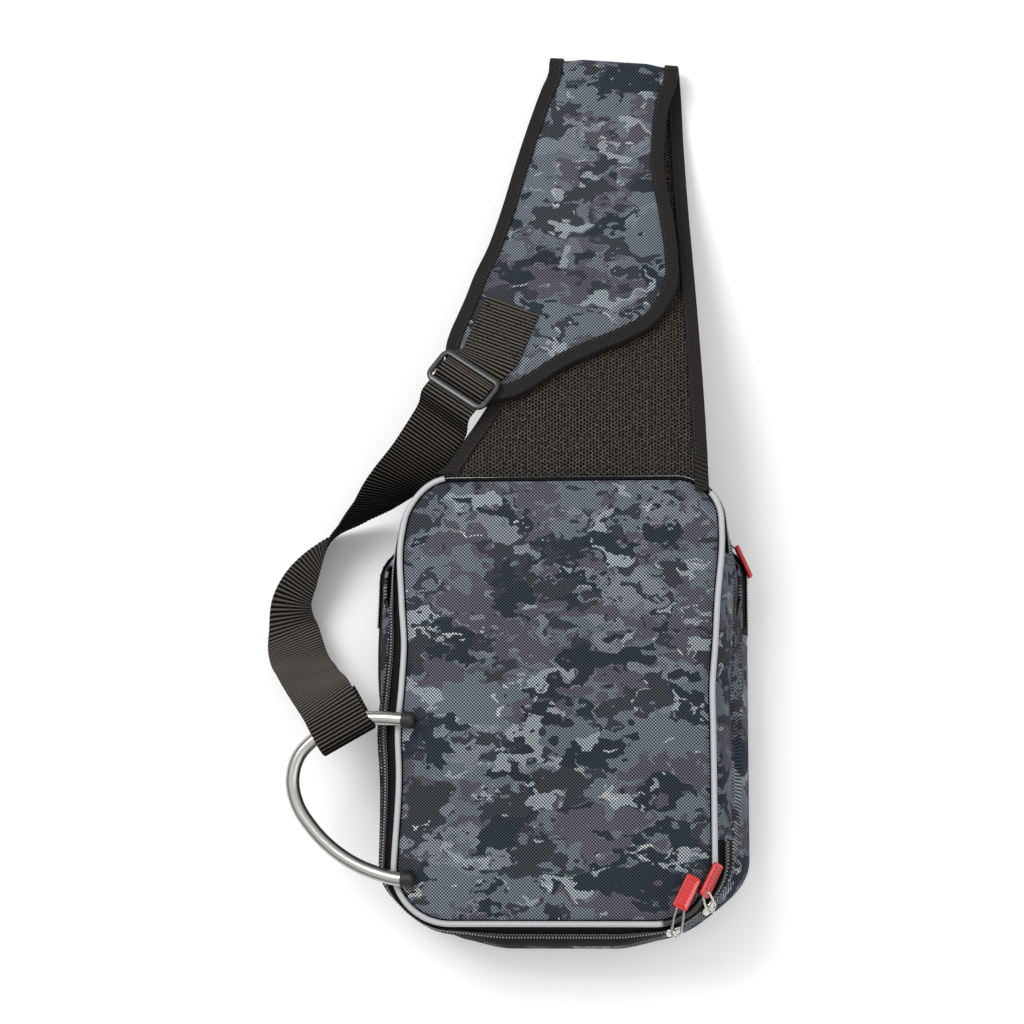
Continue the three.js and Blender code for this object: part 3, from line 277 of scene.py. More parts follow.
def smoothstep(x):
    """3x^2 - 2x^3, with x held between 0 and 1."""
    x = np.clip(x, 0, 1)
    return x * x * (3 - 2 * x)


def ripple(points, scale, seed, octaves=3):
    """Soft irregular relief from -1 to 1: sines of random headings, each octave half as long and high."""
    source = np.random.default_rng(seed)
    total = np.zeros(points.shape[:-1])
    for octave in range(octaves):
        for _ in range(5):
            heading = unit(source.normal(size=points.shape[-1])) * 2 * np.pi / (scale * 0.5**octave)
            total += 0.5**octave * np.sin(points @ heading + source.uniform(0, 2 * np.pi)) / 5
    return total


print("a cubic through 0, 1, 0 is", through([0, 1, 2], [0, 1, 0], [0.5]).round(3), "at a quarter of its run")

# %% [markdown]
# The body's outline is a rectangle with four different corner radii whose long sides wave a little,
# because soft cloth never stays straight. It is followed by arc length, anticlockwise, so that teeth,
# stitches and weave are evenly spaced round it.

# %% Outline
PANEL_W, PANEL_TOP, PANEL_BOTTOM = 214.0, 152.0, 149.5
BODY_H, PANEL_CROWN, POCKET_H, POCKET_TOP, POCKET_INSET = 90.0, 3.0, 48.0, 91.0, 1.0
TAPE_H, CLOTH, GAP, PIPING_R, PIPING_SEAM = 26.0, 2.0, 0.3, 2.0, 0.8
BULGE, POCKET_BULGE, CORNER_BULGE = 10.0, 20.0, 0.62
# Share of the height, then how far the left and the right side wave out, as shares of the panel's width.
SIDE_WAVES = np.array([
    [0.13, 0.021, -0.014], [0.33, 0.006, -0.015], [0.43, 0.010, -0.016], [0.53, -0.001, -0.017],
    [0.62, -0.008, -0.007], [0.72, 0.000, 0.001], [0.86, 0.003, 0.017], [0.91, -0.010, 0.015],
    [0.95, -0.022, 0.013], [1.00, -0.030, 0.010],
])
POCKET_WAVES = np.array([
    [0.00, -0.045, 0.0], [0.38, -0.045, 0.0], [0.52, -0.018, 0.0], [0.62, 0.0, 0.0], [1.00, 0.0, 0.0],
])
# Share of the bulge that is left at each height, on the left and on the right side.
BODY_PINCH = np.array([
    [0.00, 1.00, 1.00], [0.70, 1.00, 1.00], [0.77, 0.75, 0.92], [0.84, 0.42, 0.55], [0.90, 0.30, 0.30],
    [1.00, 0.45, 0.45],
])
POCKET_PINCH = np.array([[0.0, 1.0, 1.0], [0.5, 1.0, 1.0], [1.0, 1.0, 1.0]])
# A form has half its width, its two ends, corner radii anticlockwise from the top right, its sides' waves,
# the share of the bulge that is left at the lower and the upper corners, and its pinch.
BODY_FORM = {"half": PANEL_W / 2, "top": PANEL_TOP, "bottom": -PANEL_BOTTOM, "radii": (30, 30, 37, 42),
             "waves": SIDE_WAVES, "corner": (0.66, CORNER_BULGE), "pinch": BODY_PINCH}
POCKET_FORM = {"half": PANEL_W / 2 + POCKET_INSET, "top": POCKET_TOP, "bottom": -PANEL_BOTTOM,
               "radii": (4, 4, 37, 42), "waves": POCKET_WAVES, "corner": (0.62, 0.95), "pinch": POCKET_PINCH}
PANEL_LOW = BODY_H - CLOTH
TAPE_TOP = PANEL_LOW - GAP
TAPE_LOW = TAPE_TOP - TAPE_H
DIVIDER_LOW = POCKET_H + GAP
WALL_LOW = DIVIDER_LOW + CLOTH + GAP
PIPING_Z = TAPE_TOP + GAP + PIPING_R


def runs(form):
    """Lengths of the outline's eight runs: corner, top, corner, left, corner, bottom, corner, right."""
    tr, tl, bl, br = form["radii"]
    wide, high = 2 * form["half"], form["top"] - form["bottom"]
    turn = np.pi / 2
    return np.array([tr * turn, wide - tr - tl, tl * turn, high - tl - bl, bl * turn, wide - bl - br,
                     br * turn, high - br - tr])


def outline(form, s):
    """Points (x, y), outward normals and the share of a corner at arc length s, from the top right
    corner's lower end: a corner is its centre plus radius times (cos, sin), a side is a straight run."""
    tr, tl, bl, br = form["radii"]
    half, top, bottom = form["half"], form["top"], form["bottom"]
    run = runs(form)
    start = np.concatenate([[0], np.cumsum(run)])
    s = np.mod(s, start[-1])
    k = np.clip(np.searchsorted(start, s, side="right") - 1, 0, 7)
    along = (s - start[k]) / run[k]
    centres = np.array([[half - tr, top - tr], [tl - half, top - tl], [bl - half, bottom + bl],
                        [half - br, bottom + br]])
    radius = np.array([tr, tl, bl, br], float)
    corner = k // 2
    angle = np.pi / 2 * (corner + np.where(k % 2 == 0, along, 1.0))
    normal = np.stack([np.cos(angle), np.sin(angle)], -1)
    arc = centres[corner] + radius[corner, None] * normal
    ends = np.array([[half - tr, top], [tl - half, top], [-half, top - tl], [-half, bottom + bl],
                     [bl - half, bottom], [half - br, bottom], [half, bottom + br], [half, top - tr]])
    side = ends[2 * corner] + along[..., None] * (ends[2 * corner + 1] - ends[2 * corner])
    point = np.where((k % 2 == 0)[..., None], arc, side)
    up = (point[..., 1] - bottom) / (top - bottom)
    waves = form["waves"]
    swing = np.where(point[..., 0] < 0, through(waves[:, 0], waves[:, 1], up.ravel()).reshape(up.shape),
                     through(waves[:, 0], waves[:, 2], up.ravel()).reshape(up.shape))
    point = point + np.stack([swing * PANEL_W * point[..., 0] / half, np.zeros_like(up)], -1)
    return point, normal


def right_side(form, y):
    """Arc length at which the right side passes height y."""
    return runs(form)[:7].sum() + (y - form["bottom"] - form["radii"][3])


HINGE_TOP, HINGE_BOTTOM = 100.0, -94.0
FULL = runs(BODY_FORM).sum()
ZIP_START = right_side(BODY_FORM, HINGE_TOP) - FULL
ZIP_END = right_side(BODY_FORM, HINGE_BOTTOM)
print("outline", round(FULL), "mm, zip", round(ZIP_END - ZIP_START), "mm")

# %% [markdown]
# The sides are three tiers of cloth: the zip band, the wall under it and the deep pocket. Each bulges
# by its own section, less at the corners, where cloth is pulled tight. A tier is one closed sleeve with
# two millimetres of thickness, carried round the outline.

# %% Bands
# Share of the bulge by the share of the height down the tier: on the long sides, the lower and upper end.
TAPE_SECTION = np.array([
    [0.00, 0.05, 0.05, 0.00], [0.15, 0.45, 0.40, 0.15], [0.40, 0.80, 0.70, 0.35], [1.00, 1.15, 1.00, 0.45],
])
WALL_SECTION = np.array([[0.00, 1.22, 1.02, 0.46], [0.50, 1.33, 1.13, 0.50], [1.00, 1.40, 1.20, 0.55]])
POCKET_SECTION = np.array([
    [0.00, 0.78, 0.68, 0.80], [0.15, 0.90, 0.82, 0.90], [0.45, 1.00, 0.92, 1.00], [0.80, 0.88, 0.78, 0.80],
    [1.00, 0.62, 0.50, 0.55],
])
TAPE_SAG = 5.6         # how far the slack zip band hangs out over the pocket at the bag's lower end
# The lower end bulges less towards its corners: by what share, from how far off the middle, over what run.
END_TIGHT, END_TIGHT_FROM, END_TIGHT_RUN = 0.42, 35.0, 45.0
SLEEVE_PITCH = 1.6     # size of a face on a tier
FOLD_LONG, FOLD_STRETCH = 60.0, 3.0    # length of a soft fold in the cloth, and how many times flatter it is


def band_points(form, section, bulge, s, down, low, high, out=0.0):
    """Points of a tier at arc length s and share down: the outline moved out along its normal by the
    section's side and end values, weighted by the normal's squares, times the bulge, plus out."""
    s, down, out = np.broadcast_arrays(np.asarray(s, float), np.asarray(down, float), np.asarray(out, float))
    point, normal = outline(form, s)
    row = through(section[:, 0], section[:, 1:], down.ravel()).reshape(*down.shape, 3)
    nx, ny = normal[..., 0], normal[..., 1]
    end = np.where(ny > 0, row[..., 2], row[..., 1])
    corner = form["corner"]
    tight = 1 - (1 - np.where(ny < 0, corner[0], corner[1])) * (2 * nx * ny) ** 2
    up = (point[..., 1] - form["bottom"]) / (form["top"] - form["bottom"])
    pinch = form["pinch"]
    share = np.where(point[..., 0] < 0, through(pinch[:, 0], pinch[:, 1], up.ravel()).reshape(up.shape),
                     through(pinch[:, 0], pinch[:, 2], up.ravel()).reshape(up.shape))
    beside = smoothstep((np.abs(point[..., 0]) - END_TIGHT_FROM) / END_TIGHT_RUN)
    slack = 1 - END_TIGHT * beside * np.maximum(-ny, 0) ** 2
    tight = tight * share * slack
    sag = TAPE_SAG * np.maximum(-ny, 0) ** 6 * smoothstep(down / 0.9) * (section is TAPE_SECTION) * slack**2
    reach = (row[..., 0] * nx**2 + end * ny**2) * bulge * tight + sag + out
    xy = point + reach[..., None] * normal
    return np.concatenate([xy, (high - down * (high - low))[..., None]], -1)


def sleeve(name, form, section, bulge, start, end, low, high, material, slot, node, crease, seed,
           closed=False, meet=None, still=0.0):
    """A tier as a closed sleeve: down its outer face, round both hems and up its inner face, with soft
    folds of height crease that fade to nothing at both hems and above the share still. meet gives the
    line that its foot joins."""
    s = np.linspace(start, end, int(abs(end - start) / SLEEVE_PITCH) + 1)
    s = s[:-1] if closed else s
    down = np.linspace(0, 1, max(int((high - low) / SLEEVE_PITCH), 4) + 1)
    face = np.concatenate([down, down[::-1]])
    side = np.concatenate([np.zeros(len(down)), np.full(len(down), -CLOTH)])
    grid = band_points(form, section, bulge, s[:, None], face[None], low, high, side[None])
    _, normal = outline(form, s)
    if meet is not None:
        target, share = meet(s)
        shift = target[:, None] + side[None, :, None] * normal[:, None] - grid[..., :2]
        grid[..., :2] += shift * (share[:, None] * smoothstep(face)[None])[..., None]
    places = np.stack(np.broadcast_arrays(s[:, None], FOLD_STRETCH * (high - low) * face), -1)
    fold = 0.5 * crease * (ripple(places, FOLD_LONG, seed) - 1)
    fold = fold * smoothstep((face - still) / 0.2) * smoothstep((1 - face) / 0.2)
    if not closed:
        fold = fold * (smoothstep((s - s[0]) / 8) * smoothstep((s[-1] - s) / 8))[:, None]
    grid[..., :2] += fold[..., None] * normal[:, None]
    along = np.append(s, end) if closed else s
    across = np.append(face * (high - low), 0.0)
    mesh = grid_mesh(name, grid, wrap_rows=closed, wrap_columns=True, u=along[:, None], v=across[None],
                     caps=not closed)
    return place(name, mesh, material, slot, node)


print("tiers from", TAPE_LOW, "to", TAPE_TOP, "mm, and below", WALL_LOW, "mm")

# %% [markdown]
# Every finish here is drawn by Blender's procedural nodes, so that it keeps its true scale on any piece.
# A few of them come back in each material: stripes, noise, a mix of two colours and a bump. Each gets a
# short function, because a row of linked nodes is hard to read where it is written out in full.

# %% Shader helpers
def maths(tree, operation, *values):
    """One sum on numbers or sockets."""
    return add_node(tree, "ShaderNodeMath", dict(enumerate(values)), operation=operation).outputs[0]


def vector_maths(tree, operation, *values, output="Vector"):
    """One sum on vectors, as numbers or sockets."""
    item = add_node(tree, "ShaderNodeVectorMath", dict(enumerate(values)), operation=operation)
    return item.outputs[output]


def mixed(tree, share, first, second):
    """First colour where share is 0, second where it is 1."""
    item = add_node(tree, "ShaderNodeMix", {"Factor": share, 6: first, 7: second}, data_type="RGBA")
    return item.outputs[2]


def stretched(tree, vector, scale):
    """A vector times a scale for each of its three directions."""
    return add_node(tree, "ShaderNodeMapping", {"Vector": vector, "Scale": scale}).outputs[0]


def scaled(tree, colour, share):
    """A colour times a share."""
    return add_node(tree, "ShaderNodeVectorMath", {0: colour, "Scale": share}, operation="SCALE").outputs[0]


def noise(tree, vector, scale, detail, output=0, **more):
    """Blender's noise at a vector; more sets its other sockets."""
    inputs = {"Vector": vector, "Scale": scale, "Detail": detail, **more}
    kind = "4D" if "W" in more else "3D"
    return add_node(tree, "ShaderNodeTexNoise", inputs, noise_dimensions=kind).outputs[output]


def bent(tree, vector, scale, detail, reach):
    """The vector moved about by noise: its colour less a half, times reach."""
    wobble = noise(tree, vector, scale, detail, output="Color")
    centred = vector_maths(tree, "SUBTRACT", wobble, (0.5, 0.5, 0.5))
    return vector_maths(tree, "MULTIPLY_ADD", centred, reach, vector)


def sine_lines(tree, vector, direction, pitch_mm, turn=0.0):
    """0 to 1 stripes: half plus half the sine of 2 pi times the distance along direction over the pitch,
    plus turn."""
    axis = np.array(direction) / np.linalg.norm(direction) * 2000 * np.pi / pitch_mm
    distance = vector_maths(tree, "DOT_PRODUCT", vector, axis.tolist(), output="Value")
    wave = maths(tree, "SINE", maths(tree, "ADD", distance, turn))
    return maths(tree, "MULTIPLY_ADD", wave, 0.5, 0.5)


def weave_map(tree):
    """The map that follows a piece, in metres."""
    return add_node(tree, "ShaderNodeUVMap", uv_map="weave").outputs[0]


def object_place(tree):
    """The place in the bag's own frame, in metres."""
    return add_node(tree, "ShaderNodeTexCoord").outputs["Object"]


def new_material(name, roughness, **sockets):
    """A material with its shader; sockets are the shader's own constants."""
    material = bpy.data.materials.new(name)
    material.use_nodes = True
    shader = material.node_tree.nodes["Principled BSDF"]
    shader.inputs["Roughness"].default_value = roughness
    for key, value in sockets.items():
        shader.inputs[key.replace("_", " ")].default_value = value
    return material, material.node_tree, shader


def coloured(tree, shader, colour):
    """Links a colour to the shader."""
    tree.links.new(colour, shader.inputs["Base Color"])


def bump(tree, shader, height, distance_mm, strength=1.0):
    """Raises the shader's surface by height times a distance in millimetres."""
    inputs = {"Height": height, "Distance": distance_mm * MM, "Strength": strength}
    tree.links.new(add_node(tree, "ShaderNodeBump", inputs).outputs[0], shader.inputs["Normal"])


print("white is", linear("#ffffff"), "and mid grey", round(linear("#808080")[0], 3))

# %% [markdown]
# Printed polyester twill covers the body. The print is a camouflage of ragged blotches in blue-greys
# and warm greys, 15 to 40 mm long and flatter than they are long. An image could be laid on, but
# thresholded noise whose place is bent by more noise gives free, unrepeated blotches at true scale.
# Its diagonal twill is drawn at 1.6 mm, coarser than the real yarn, so that it shows in the render. Its
# lines are painted lighter and darker, as painted light and shade on the twill's ridges, besides a bump.

# %% Printed cloth
TONES = {"slate": "#494f56", "plum": "#3e3c43", "steel": "#555a60", "navy": "#1e242c", "soot": "#292b2f",
         "mist": "#686e71", "bone": "#7c7e7c"}
GROUND = "plum"
# Tones in the order they are printed: tone, scale of its blotches, the noise above which it prints, and
# where in the noise it is read.
PRINTS = [
    ("slate", 0.85, 0.49, 3.1), ("steel", 1.1, 0.57, 7.7), ("soot", 1.0, 0.56, 21.4),
    ("slate", 1.5, 0.60, 29.0), ("navy", 0.9, 0.565, 12.9), ("mist", 1.25, 0.63, 17.3),
    ("bone", 1.4, 0.675, 5.6),
]
PRINT_EDGE = 0.006     # how soft a blotch's edge is
BLOTCH = 29.0          # length of a blotch in millimetres
FLATTER = (0.78, 1.08, 1.0)    # blotches are longer across the bag than along it
TWILL = 1.6            # spacing of the drawn twill lines in millimetres
CROSS_TWILL = 0.7      # weight of the twill's crossing lines


def printed_cloth(name):
    """Camouflage read from Object coordinates, on twill that follows each piece's own map."""
    material, tree, shader = new_material(name, 0.85, Specular_IOR_Level=0.12)
    at = object_place(tree)
    blotch_place = stretched(tree, at, [share / (BLOTCH * MM) for share in FLATTER])
    pulled = bent(tree, blotch_place, 1.9, 2.0, (1.7, 1.4, 1.4))
    colour = linear(TONES[GROUND])
    for tone, size, edge, shift in PRINTS:
        field = noise(tree, pulled, size, 2.2, W=shift, Roughness=0.55, Distortion=0.3)
        inside = mapped(tree, field, edge, edge + PRINT_EDGE)
        colour = mixed(tree, inside, colour, linear(TONES[tone]))
    lines = sine_lines(tree, weave_map(tree), (1, 1, 0), TWILL)
    cross = sine_lines(tree, weave_map(tree), (1, -1, 0), TWILL)
    weave = maths(tree, "MULTIPLY_ADD", cross, CROSS_TWILL, lines)
    # The twill's lines brighten and darken the print: painted light and shade on its ridges.
    light = mapped(tree, weave, 0.45, 1.35, 0.02, 3.1)
    worn = mapped(tree, noise(tree, at, 14.0, 3.0), 0.3, 0.7, 0.9, 1.1)
    coloured(tree, shader, scaled(tree, colour, maths(tree, "MULTIPLY", light, worn)))
    bump(tree, shader, weave, 0.16, 0.7)
    return material


camouflage = printed_cloth("printed_polyester_twill")
print("cloth print drawn with blotches of", BLOTCH, "mm")

# %% [markdown]
# Black grosgrain and zip tape are woven with cross ribs. The ribs follow each strip's own map, in metres
# along and across it, so that they stay square to its edges round every bend. Each rib is painted pale on
# top as painted highlight and near black between as painted shade, besides a bump.

# %% Ribbed tape and webbing
def ribbed_tape(name, dark, light, pitch, across=0.0, roughness=0.72, depth=0.2, fine=0.55, shaded_share=0.0):
    """Stripes across a strip on its own map, with a weaker fine stripe along it, painted as highlight on the
    ribs and as shade between them: the given share of each stripe stays dark, as painted shade."""
    material, tree, shader = new_material(name, roughness, Specular_IOR_Level=0.06)
    strip = weave_map(tree)
    ribs = sine_lines(tree, strip, (1, across, 0), pitch)
    yarns = sine_lines(tree, strip, (0.0, 1, 0), fine)
    both = maths(tree, "MULTIPLY_ADD", yarns, 0.3, ribs)
    lit_colour = mixed(tree, mapped(tree, both, shaded_share, 1.0), linear(dark), linear(light))
    uneven = mapped(tree, noise(tree, strip, 900.0, 2.0), 0.0, 1.0, 0.6, 1.4)
    coloured(tree, shader, scaled(tree, lit_colour, uneven))
    bump(tree, shader, both, depth)
    return material


# Each tape's dark colour is painted shade between its ribs, and its light colour painted highlight on them.
grosgrain = ribbed_tape("black_grosgrain_tape", "#030303", "#302e2d", 1.5, across=0.25)
zip_tape = ribbed_tape("black_zip_tape", "#060606", "#1f1f1f", 1.2, depth=0.12)
webbing_yarn = ribbed_tape("woven_nylon_webbing", "#010101", "#544e48", 2.6, depth=0.3, roughness=0.8,
                           fine=1.1, shaded_share=0.62)
print("tapes", grosgrain.name, zip_tape.name, webbing_yarn.name)

# %% [markdown]
# The tiers go on from the top down. The zip band stops at the hinge, a bare piece of the printed cloth
# that the lid would turn on. The divider and the pocket's bottom are flat sheets inside their tiers.

# %% Side tiers
MAIN = (BODY_FORM, TAPE_SECTION, BULGE)
sleeve("zip_band_cloth", *MAIN, ZIP_START, ZIP_END, TAPE_LOW, TAPE_TOP, zip_tape, "black_cloth",
       "zip_band", crease=0.7, seed=3)
sleeve("hinge_cloth", *MAIN, ZIP_END + GAP, ZIP_START + FULL - GAP, TAPE_LOW, TAPE_TOP, camouflage,
       "camo_cloth", "hinge", crease=0.8, seed=4)
POCKET = (POCKET_FORM, POCKET_SECTION, POCKET_BULGE)
POCKET_FULL = runs(POCKET_FORM).sum()


def pocket_rim(s):
    """Where the pocket's upper hem runs beside arc length s of the body, and how much it pulls the wall:
    runs below the pocket's top are matched end to end, and the pull fades at that top."""
    body, pocket = np.cumsum(runs(BODY_FORM)), np.cumsum(runs(POCKET_FORM))
    drop = PANEL_TOP - POCKET_TOP
    knots = [body[2] + drop, body[3], body[4], body[5], body[6], body[7] - drop]
    rim = band_points(*POCKET, np.interp(s, knots, pocket[2:8]), 0, 0, 1)[:, :2]
    share = smoothstep((s - knots[0]) / 14) * smoothstep((knots[-1] - s) / 14)
    return rim, share


sleeve("side_wall_cloth", BODY_FORM, WALL_SECTION, BULGE, 0.0, FULL, WALL_LOW, TAPE_LOW - GAP, camouflage,
       "camo_cloth", "side_wall", crease=1.0, seed=5, closed=True, meet=pocket_rim)
sleeve("pocket_wall_cloth", *POCKET, 0.0, POCKET_FULL, CLOTH + GAP, POCKET_H, camouflage, "camo_cloth",
       "pocket_wall", crease=2.4, seed=6, closed=True, still=0.36)


def flat_mapped(name, grid):
    """A closed grid whose map is its plan: u is x and v is y."""
    wrapped = np.concatenate([grid, grid[:, :1]], 1)
    return grid_mesh(name, grid, wrap_columns=True, u=wrapped[..., 0], v=wrapped[..., 1], caps=True)


RINGS, SPOKES = 24, 400


def flat_sheet(name, form, section, bulge, low, node):
    """A flat sheet inside a tier's foot: rings from the middle out to the edge on top, and back beneath."""
    s = np.linspace(0, runs(form).sum(), SPOKES + 1)[:-1]
    edge = band_points(form, section, bulge, s, 1.0, 0, 1)[:, :2]
    middle = edge.mean(0)
    rings = np.concatenate([np.linspace(0, 1, RINGS), [1.0], np.linspace(1, 0, RINGS)[1:]])
    height = np.concatenate([np.full(RINGS, low + CLOTH), np.full(RINGS, low)])
    xy = middle + rings[:, None, None] * (edge - middle)[None]
    grid = np.concatenate([xy, np.broadcast_to(height[:, None, None], (2 * RINGS, SPOKES, 1))], -1)
    return place(name, flat_mapped(name, grid[1:-1]), camouflage, "camo_cloth", node)


flat_sheet("divider_cloth", BODY_FORM, WALL_SECTION, BULGE, DIVIDER_LOW, "divider")
flat_sheet("pocket_bottom_cloth", *POCKET, 0.0, "pocket_panel")

# %% [markdown]
# The panel that rests on the wearer's back is printed cloth over thin foam. It is pulled down at its
# piped edge and a little hollow beyond it, with a low crown. A subdivided box could be pinched into
# this, but rings that shrink from the outline to the middle follow the seam exactly.

# %% Back panel
def back_panel():
    """Rings that shrink from the outline towards the middle: height is the crown times
    1 - share to the fourth, less a groove near the seam, plus soft ripples."""
    s = np.linspace(0, FULL, 641)[:-1]
    point, normal = outline(BODY_FORM, s)
    edge = point - (PIPING_R + PIPING_SEAM) * normal
    middle = edge.mean(0)
    top = np.concatenate([[0.004], np.linspace(0.02, 0.9, 60), np.linspace(0.91, 0.995, 14), [1.0]])
    under = np.array([1.0, 0.8, 0.5, 0.2, 0.004])
    rings = np.concatenate([top, under])
    xy = middle + rings[:, None, None] * (edge - middle)[None]
    away = (1 - rings)[:, None] * np.linalg.norm(edge - middle, axis=1)[None]
    roll = 1.3 * smoothstep(away / 4.5) - 1.3
    up = (xy[..., 1] + PANEL_BOTTOM) / (PANEL_TOP + PANEL_BOTTOM)
    rise = PANEL_CROWN * (1 - rings[:, None] ** 4) * (1 - np.abs(2 * up - 1) ** 6)
    soft = 0.55 * (ripple(xy, 75, 11) - 1) * smoothstep(away / 18)
    pucker = 0.22 * np.sin(2 * np.pi * s / 5.2)[None] * np.exp(-((away - 3.4) / 1.8) ** 2)
    z = BODY_H + roll + rise + soft + pucker
    z[len(top):] = PANEL_LOW
    grid = np.concatenate([xy, z[..., None]], -1)
    mesh = flat_mapped("back_panel_cushion", grid)
    piece = place("back_panel_cushion", mesh, camouflage, "camo_cloth", "back_panel")
    return piece


back_panel()

# %% [markdown]
# The strap's middle surface is a sheet that leaves the panel's edge, slopes to the floor, folds over
# itself and comes back to a tip. The sheet has two measures: x across and q along. Cloth, foam and
# binding are layers at a distance w from it, so that they can never cross.

# %% Strap surface
STRAP_W, STRAP_X, STRAP_RUN, FLAP_RUN, FOLD_R, FOLD_SKEW = 186.0, 9.4, 300.5, 245.5, 9.0, 0.086
SKEW_PIVOT, SKEW_REACH, PAD_REST = 0.15, 0.35, 8.6
OUTER_EDGE, PUFF_OUT, PAD_EDGE, PUFF_IN = 2.3, 1.7, 2.0, 2.0
BINDING_W, BINDING_T, BINDING_SEAT, PUFF_START, PUFF_END = 9.5, 1.0, 0.6, 10.8, 24.0
SEAM_Y = PANEL_TOP - PIPING_R - PIPING_SEAM + GAP
STRAP_TOP_Z = TAPE_TOP + GAP + OUTER_EDGE
STRAP_LOW_Z = OUTER_EDGE + PUFF_OUT + 2 * GAP
FOLD_Y = SEAM_Y + STRAP_RUN
FOLD_LENGTH = np.pi * FOLD_R
# Edges of the strap's outgoing part: share along it, left edge and right edge as shares of its width.
STRAP_ROWS = np.array([
    [0.010, -0.500, 0.500], [0.040, -0.454, 0.496], [0.085, -0.405, 0.492], [0.135, -0.350, 0.488],
    [0.190, -0.296, 0.483], [0.270, -0.225, 0.475], [0.380, -0.160, 0.463], [0.520, -0.115, 0.447],
    [0.680, -0.095, 0.428], [0.850, -0.085, 0.412],
])
# Edges of the folded part: share along it and share across it, for the left edge and then the right.
FLAP_ROWS = np.array([
    [0.000, -0.104, 0.000, 0.390], [0.055, -0.132, 0.065, 0.363], [0.175, -0.186, 0.175, 0.342],
    [0.300, -0.235, 0.300, 0.342], [0.430, -0.281, 0.430, 0.369], [0.540, -0.326, 0.560, 0.390],
    [0.625, -0.373, 0.650, 0.390], [0.698, -0.405, 0.720, 0.358], [0.752, -0.432, 0.780, 0.300],
    [0.800, -0.456, 0.825, 0.205], [0.842, -0.469, 0.865, 0.085], [0.884, -0.469, 0.910, -0.036],
    [0.925, -0.453, 0.956, -0.125], [0.962, -0.420, 0.988, -0.200], [0.988, -0.373, 1.000, -0.275],
])


def strap_height(y):
    """Half a cosine from the bag's edge down to the floor."""
    share = np.clip((y - SEAM_Y) / STRAP_RUN, 0, 1)
    return STRAP_LOW_Z + (STRAP_TOP_Z - STRAP_LOW_Z) * (1 + np.cos(np.pi * share)) / 2


def path_point(q):
    """Place (y, z) along the strap: the slope, half a circle of the fold, then the flap above it."""
    y_out = SEAM_Y + q
    turn = np.clip((q - STRAP_RUN) / FOLD_R, 0, np.pi)
    y_back = FOLD_Y - (q - STRAP_RUN - FOLD_LENGTH)
    lift = PAD_REST + (2 * FOLD_R - PAD_REST) * smoothstep((y_back - FOLD_Y + FLAP_RUN) / FLAP_RUN)
    y = np.where(q <= STRAP_RUN, y_out, np.where(turn < np.pi, FOLD_Y + FOLD_R * np.sin(turn), y_back))
    z_back = np.where(turn < np.pi, STRAP_LOW_Z + FOLD_R * (1 - np.cos(turn)), strap_height(y_back) + lift)
    z = np.where(q <= STRAP_RUN, strap_height(y_out), z_back)
    return y, z


def strap_point(x, q, w):
    """Point at x across, q along and w off the sheet, towards the foam: the path's point plus w times
    its normal, skewed near the fold because the fold line is not square to the strap."""
    x, q, w = np.broadcast_arrays(np.asarray(x, float), np.asarray(q, float), np.asarray(w, float))
    y, z = path_point(q)
    y0, z0 = path_point(q - 0.5)
    y1, z1 = path_point(q + 0.5)
    length = np.hypot(y1 - y0, z1 - z0)
    far = np.exp(-(((q - STRAP_RUN - FOLD_LENGTH / 2) / (SKEW_REACH * STRAP_RUN)) ** 2))
    skew = -FOLD_SKEW * (x - STRAP_X - SKEW_PIVOT * STRAP_W) * far
    return np.stack([x, y - w * (z1 - z0) / length + skew, z + w * (y1 - y0) / length], -1)


def strap_edges():
    """Left and right edge points (x, q), rung by rung, from the seam to the tip."""
    left = [np.stack([STRAP_X + STRAP_ROWS[:, 1] * STRAP_W, STRAP_ROWS[:, 0] * STRAP_RUN], 1)]
    right = [np.stack([STRAP_X + STRAP_ROWS[:, 2] * STRAP_W, STRAP_ROWS[:, 0] * STRAP_RUN], 1)]
    steps = np.arange(5) / 5
    share = (0.5 + steps / 2)[:, None]
    fold_q = (STRAP_RUN + FOLD_LENGTH * steps)[:, None]
    for side, column, rows in ((left, 1, 1), (right, 2, 3)):
        x = STRAP_ROWS[-1, column] + share * (FLAP_ROWS[0, rows] - STRAP_ROWS[-1, column])
        side.append(np.concatenate([STRAP_X + x * STRAP_W, fold_q], 1))
    start = STRAP_RUN + FOLD_LENGTH
    left.append(np.stack([STRAP_X + FLAP_ROWS[:, 1] * STRAP_W, start + FLAP_ROWS[:, 0] * FLAP_RUN], 1))
    right.append(np.stack([STRAP_X + FLAP_ROWS[:, 3] * STRAP_W, start + FLAP_ROWS[:, 2] * FLAP_RUN], 1))
    return np.concatenate(left), np.concatenate(right)


LEFT_EDGE, RIGHT_EDGE = strap_edges()
TOP_RADIUS = 30.0
print("strap", len(LEFT_EDGE), "rungs,", round(LEFT_EDGE[-1, 1]), "mm along")

# %% [markdown]
# The strap is foam between printed cloth and air mesh, quilted flat under its binding. Each layer is a
# closed skin. It swells from the binding inwards, and falls to nothing where it is sewn to the bag.

# %% Strap layers
TOP_WAVE = 0.017       # how far the panel's sides wave out beside its upper corners, as a share of its width
EDGE_CROWD = 0.35      # how strongly the columns crowd towards the strap's edges
DROP_RUN, TIP_RUN = 12.0, 6.0    # lengths over which the skin leaves the seam's line, and nears the tip


def seam_drop(x):
    """How far the sewing line falls round the panel's corners: radius less the circle's height."""
    wide = np.abs(x) - (PANEL_W / 2 - TOP_RADIUS) - TOP_WAVE * PANEL_W
    fall = TOP_RADIUS - np.sqrt(np.maximum(TOP_RADIUS**2 - np.maximum(wide, 0) ** 2, 0))
    return np.where(wide > 0, fall, 0)


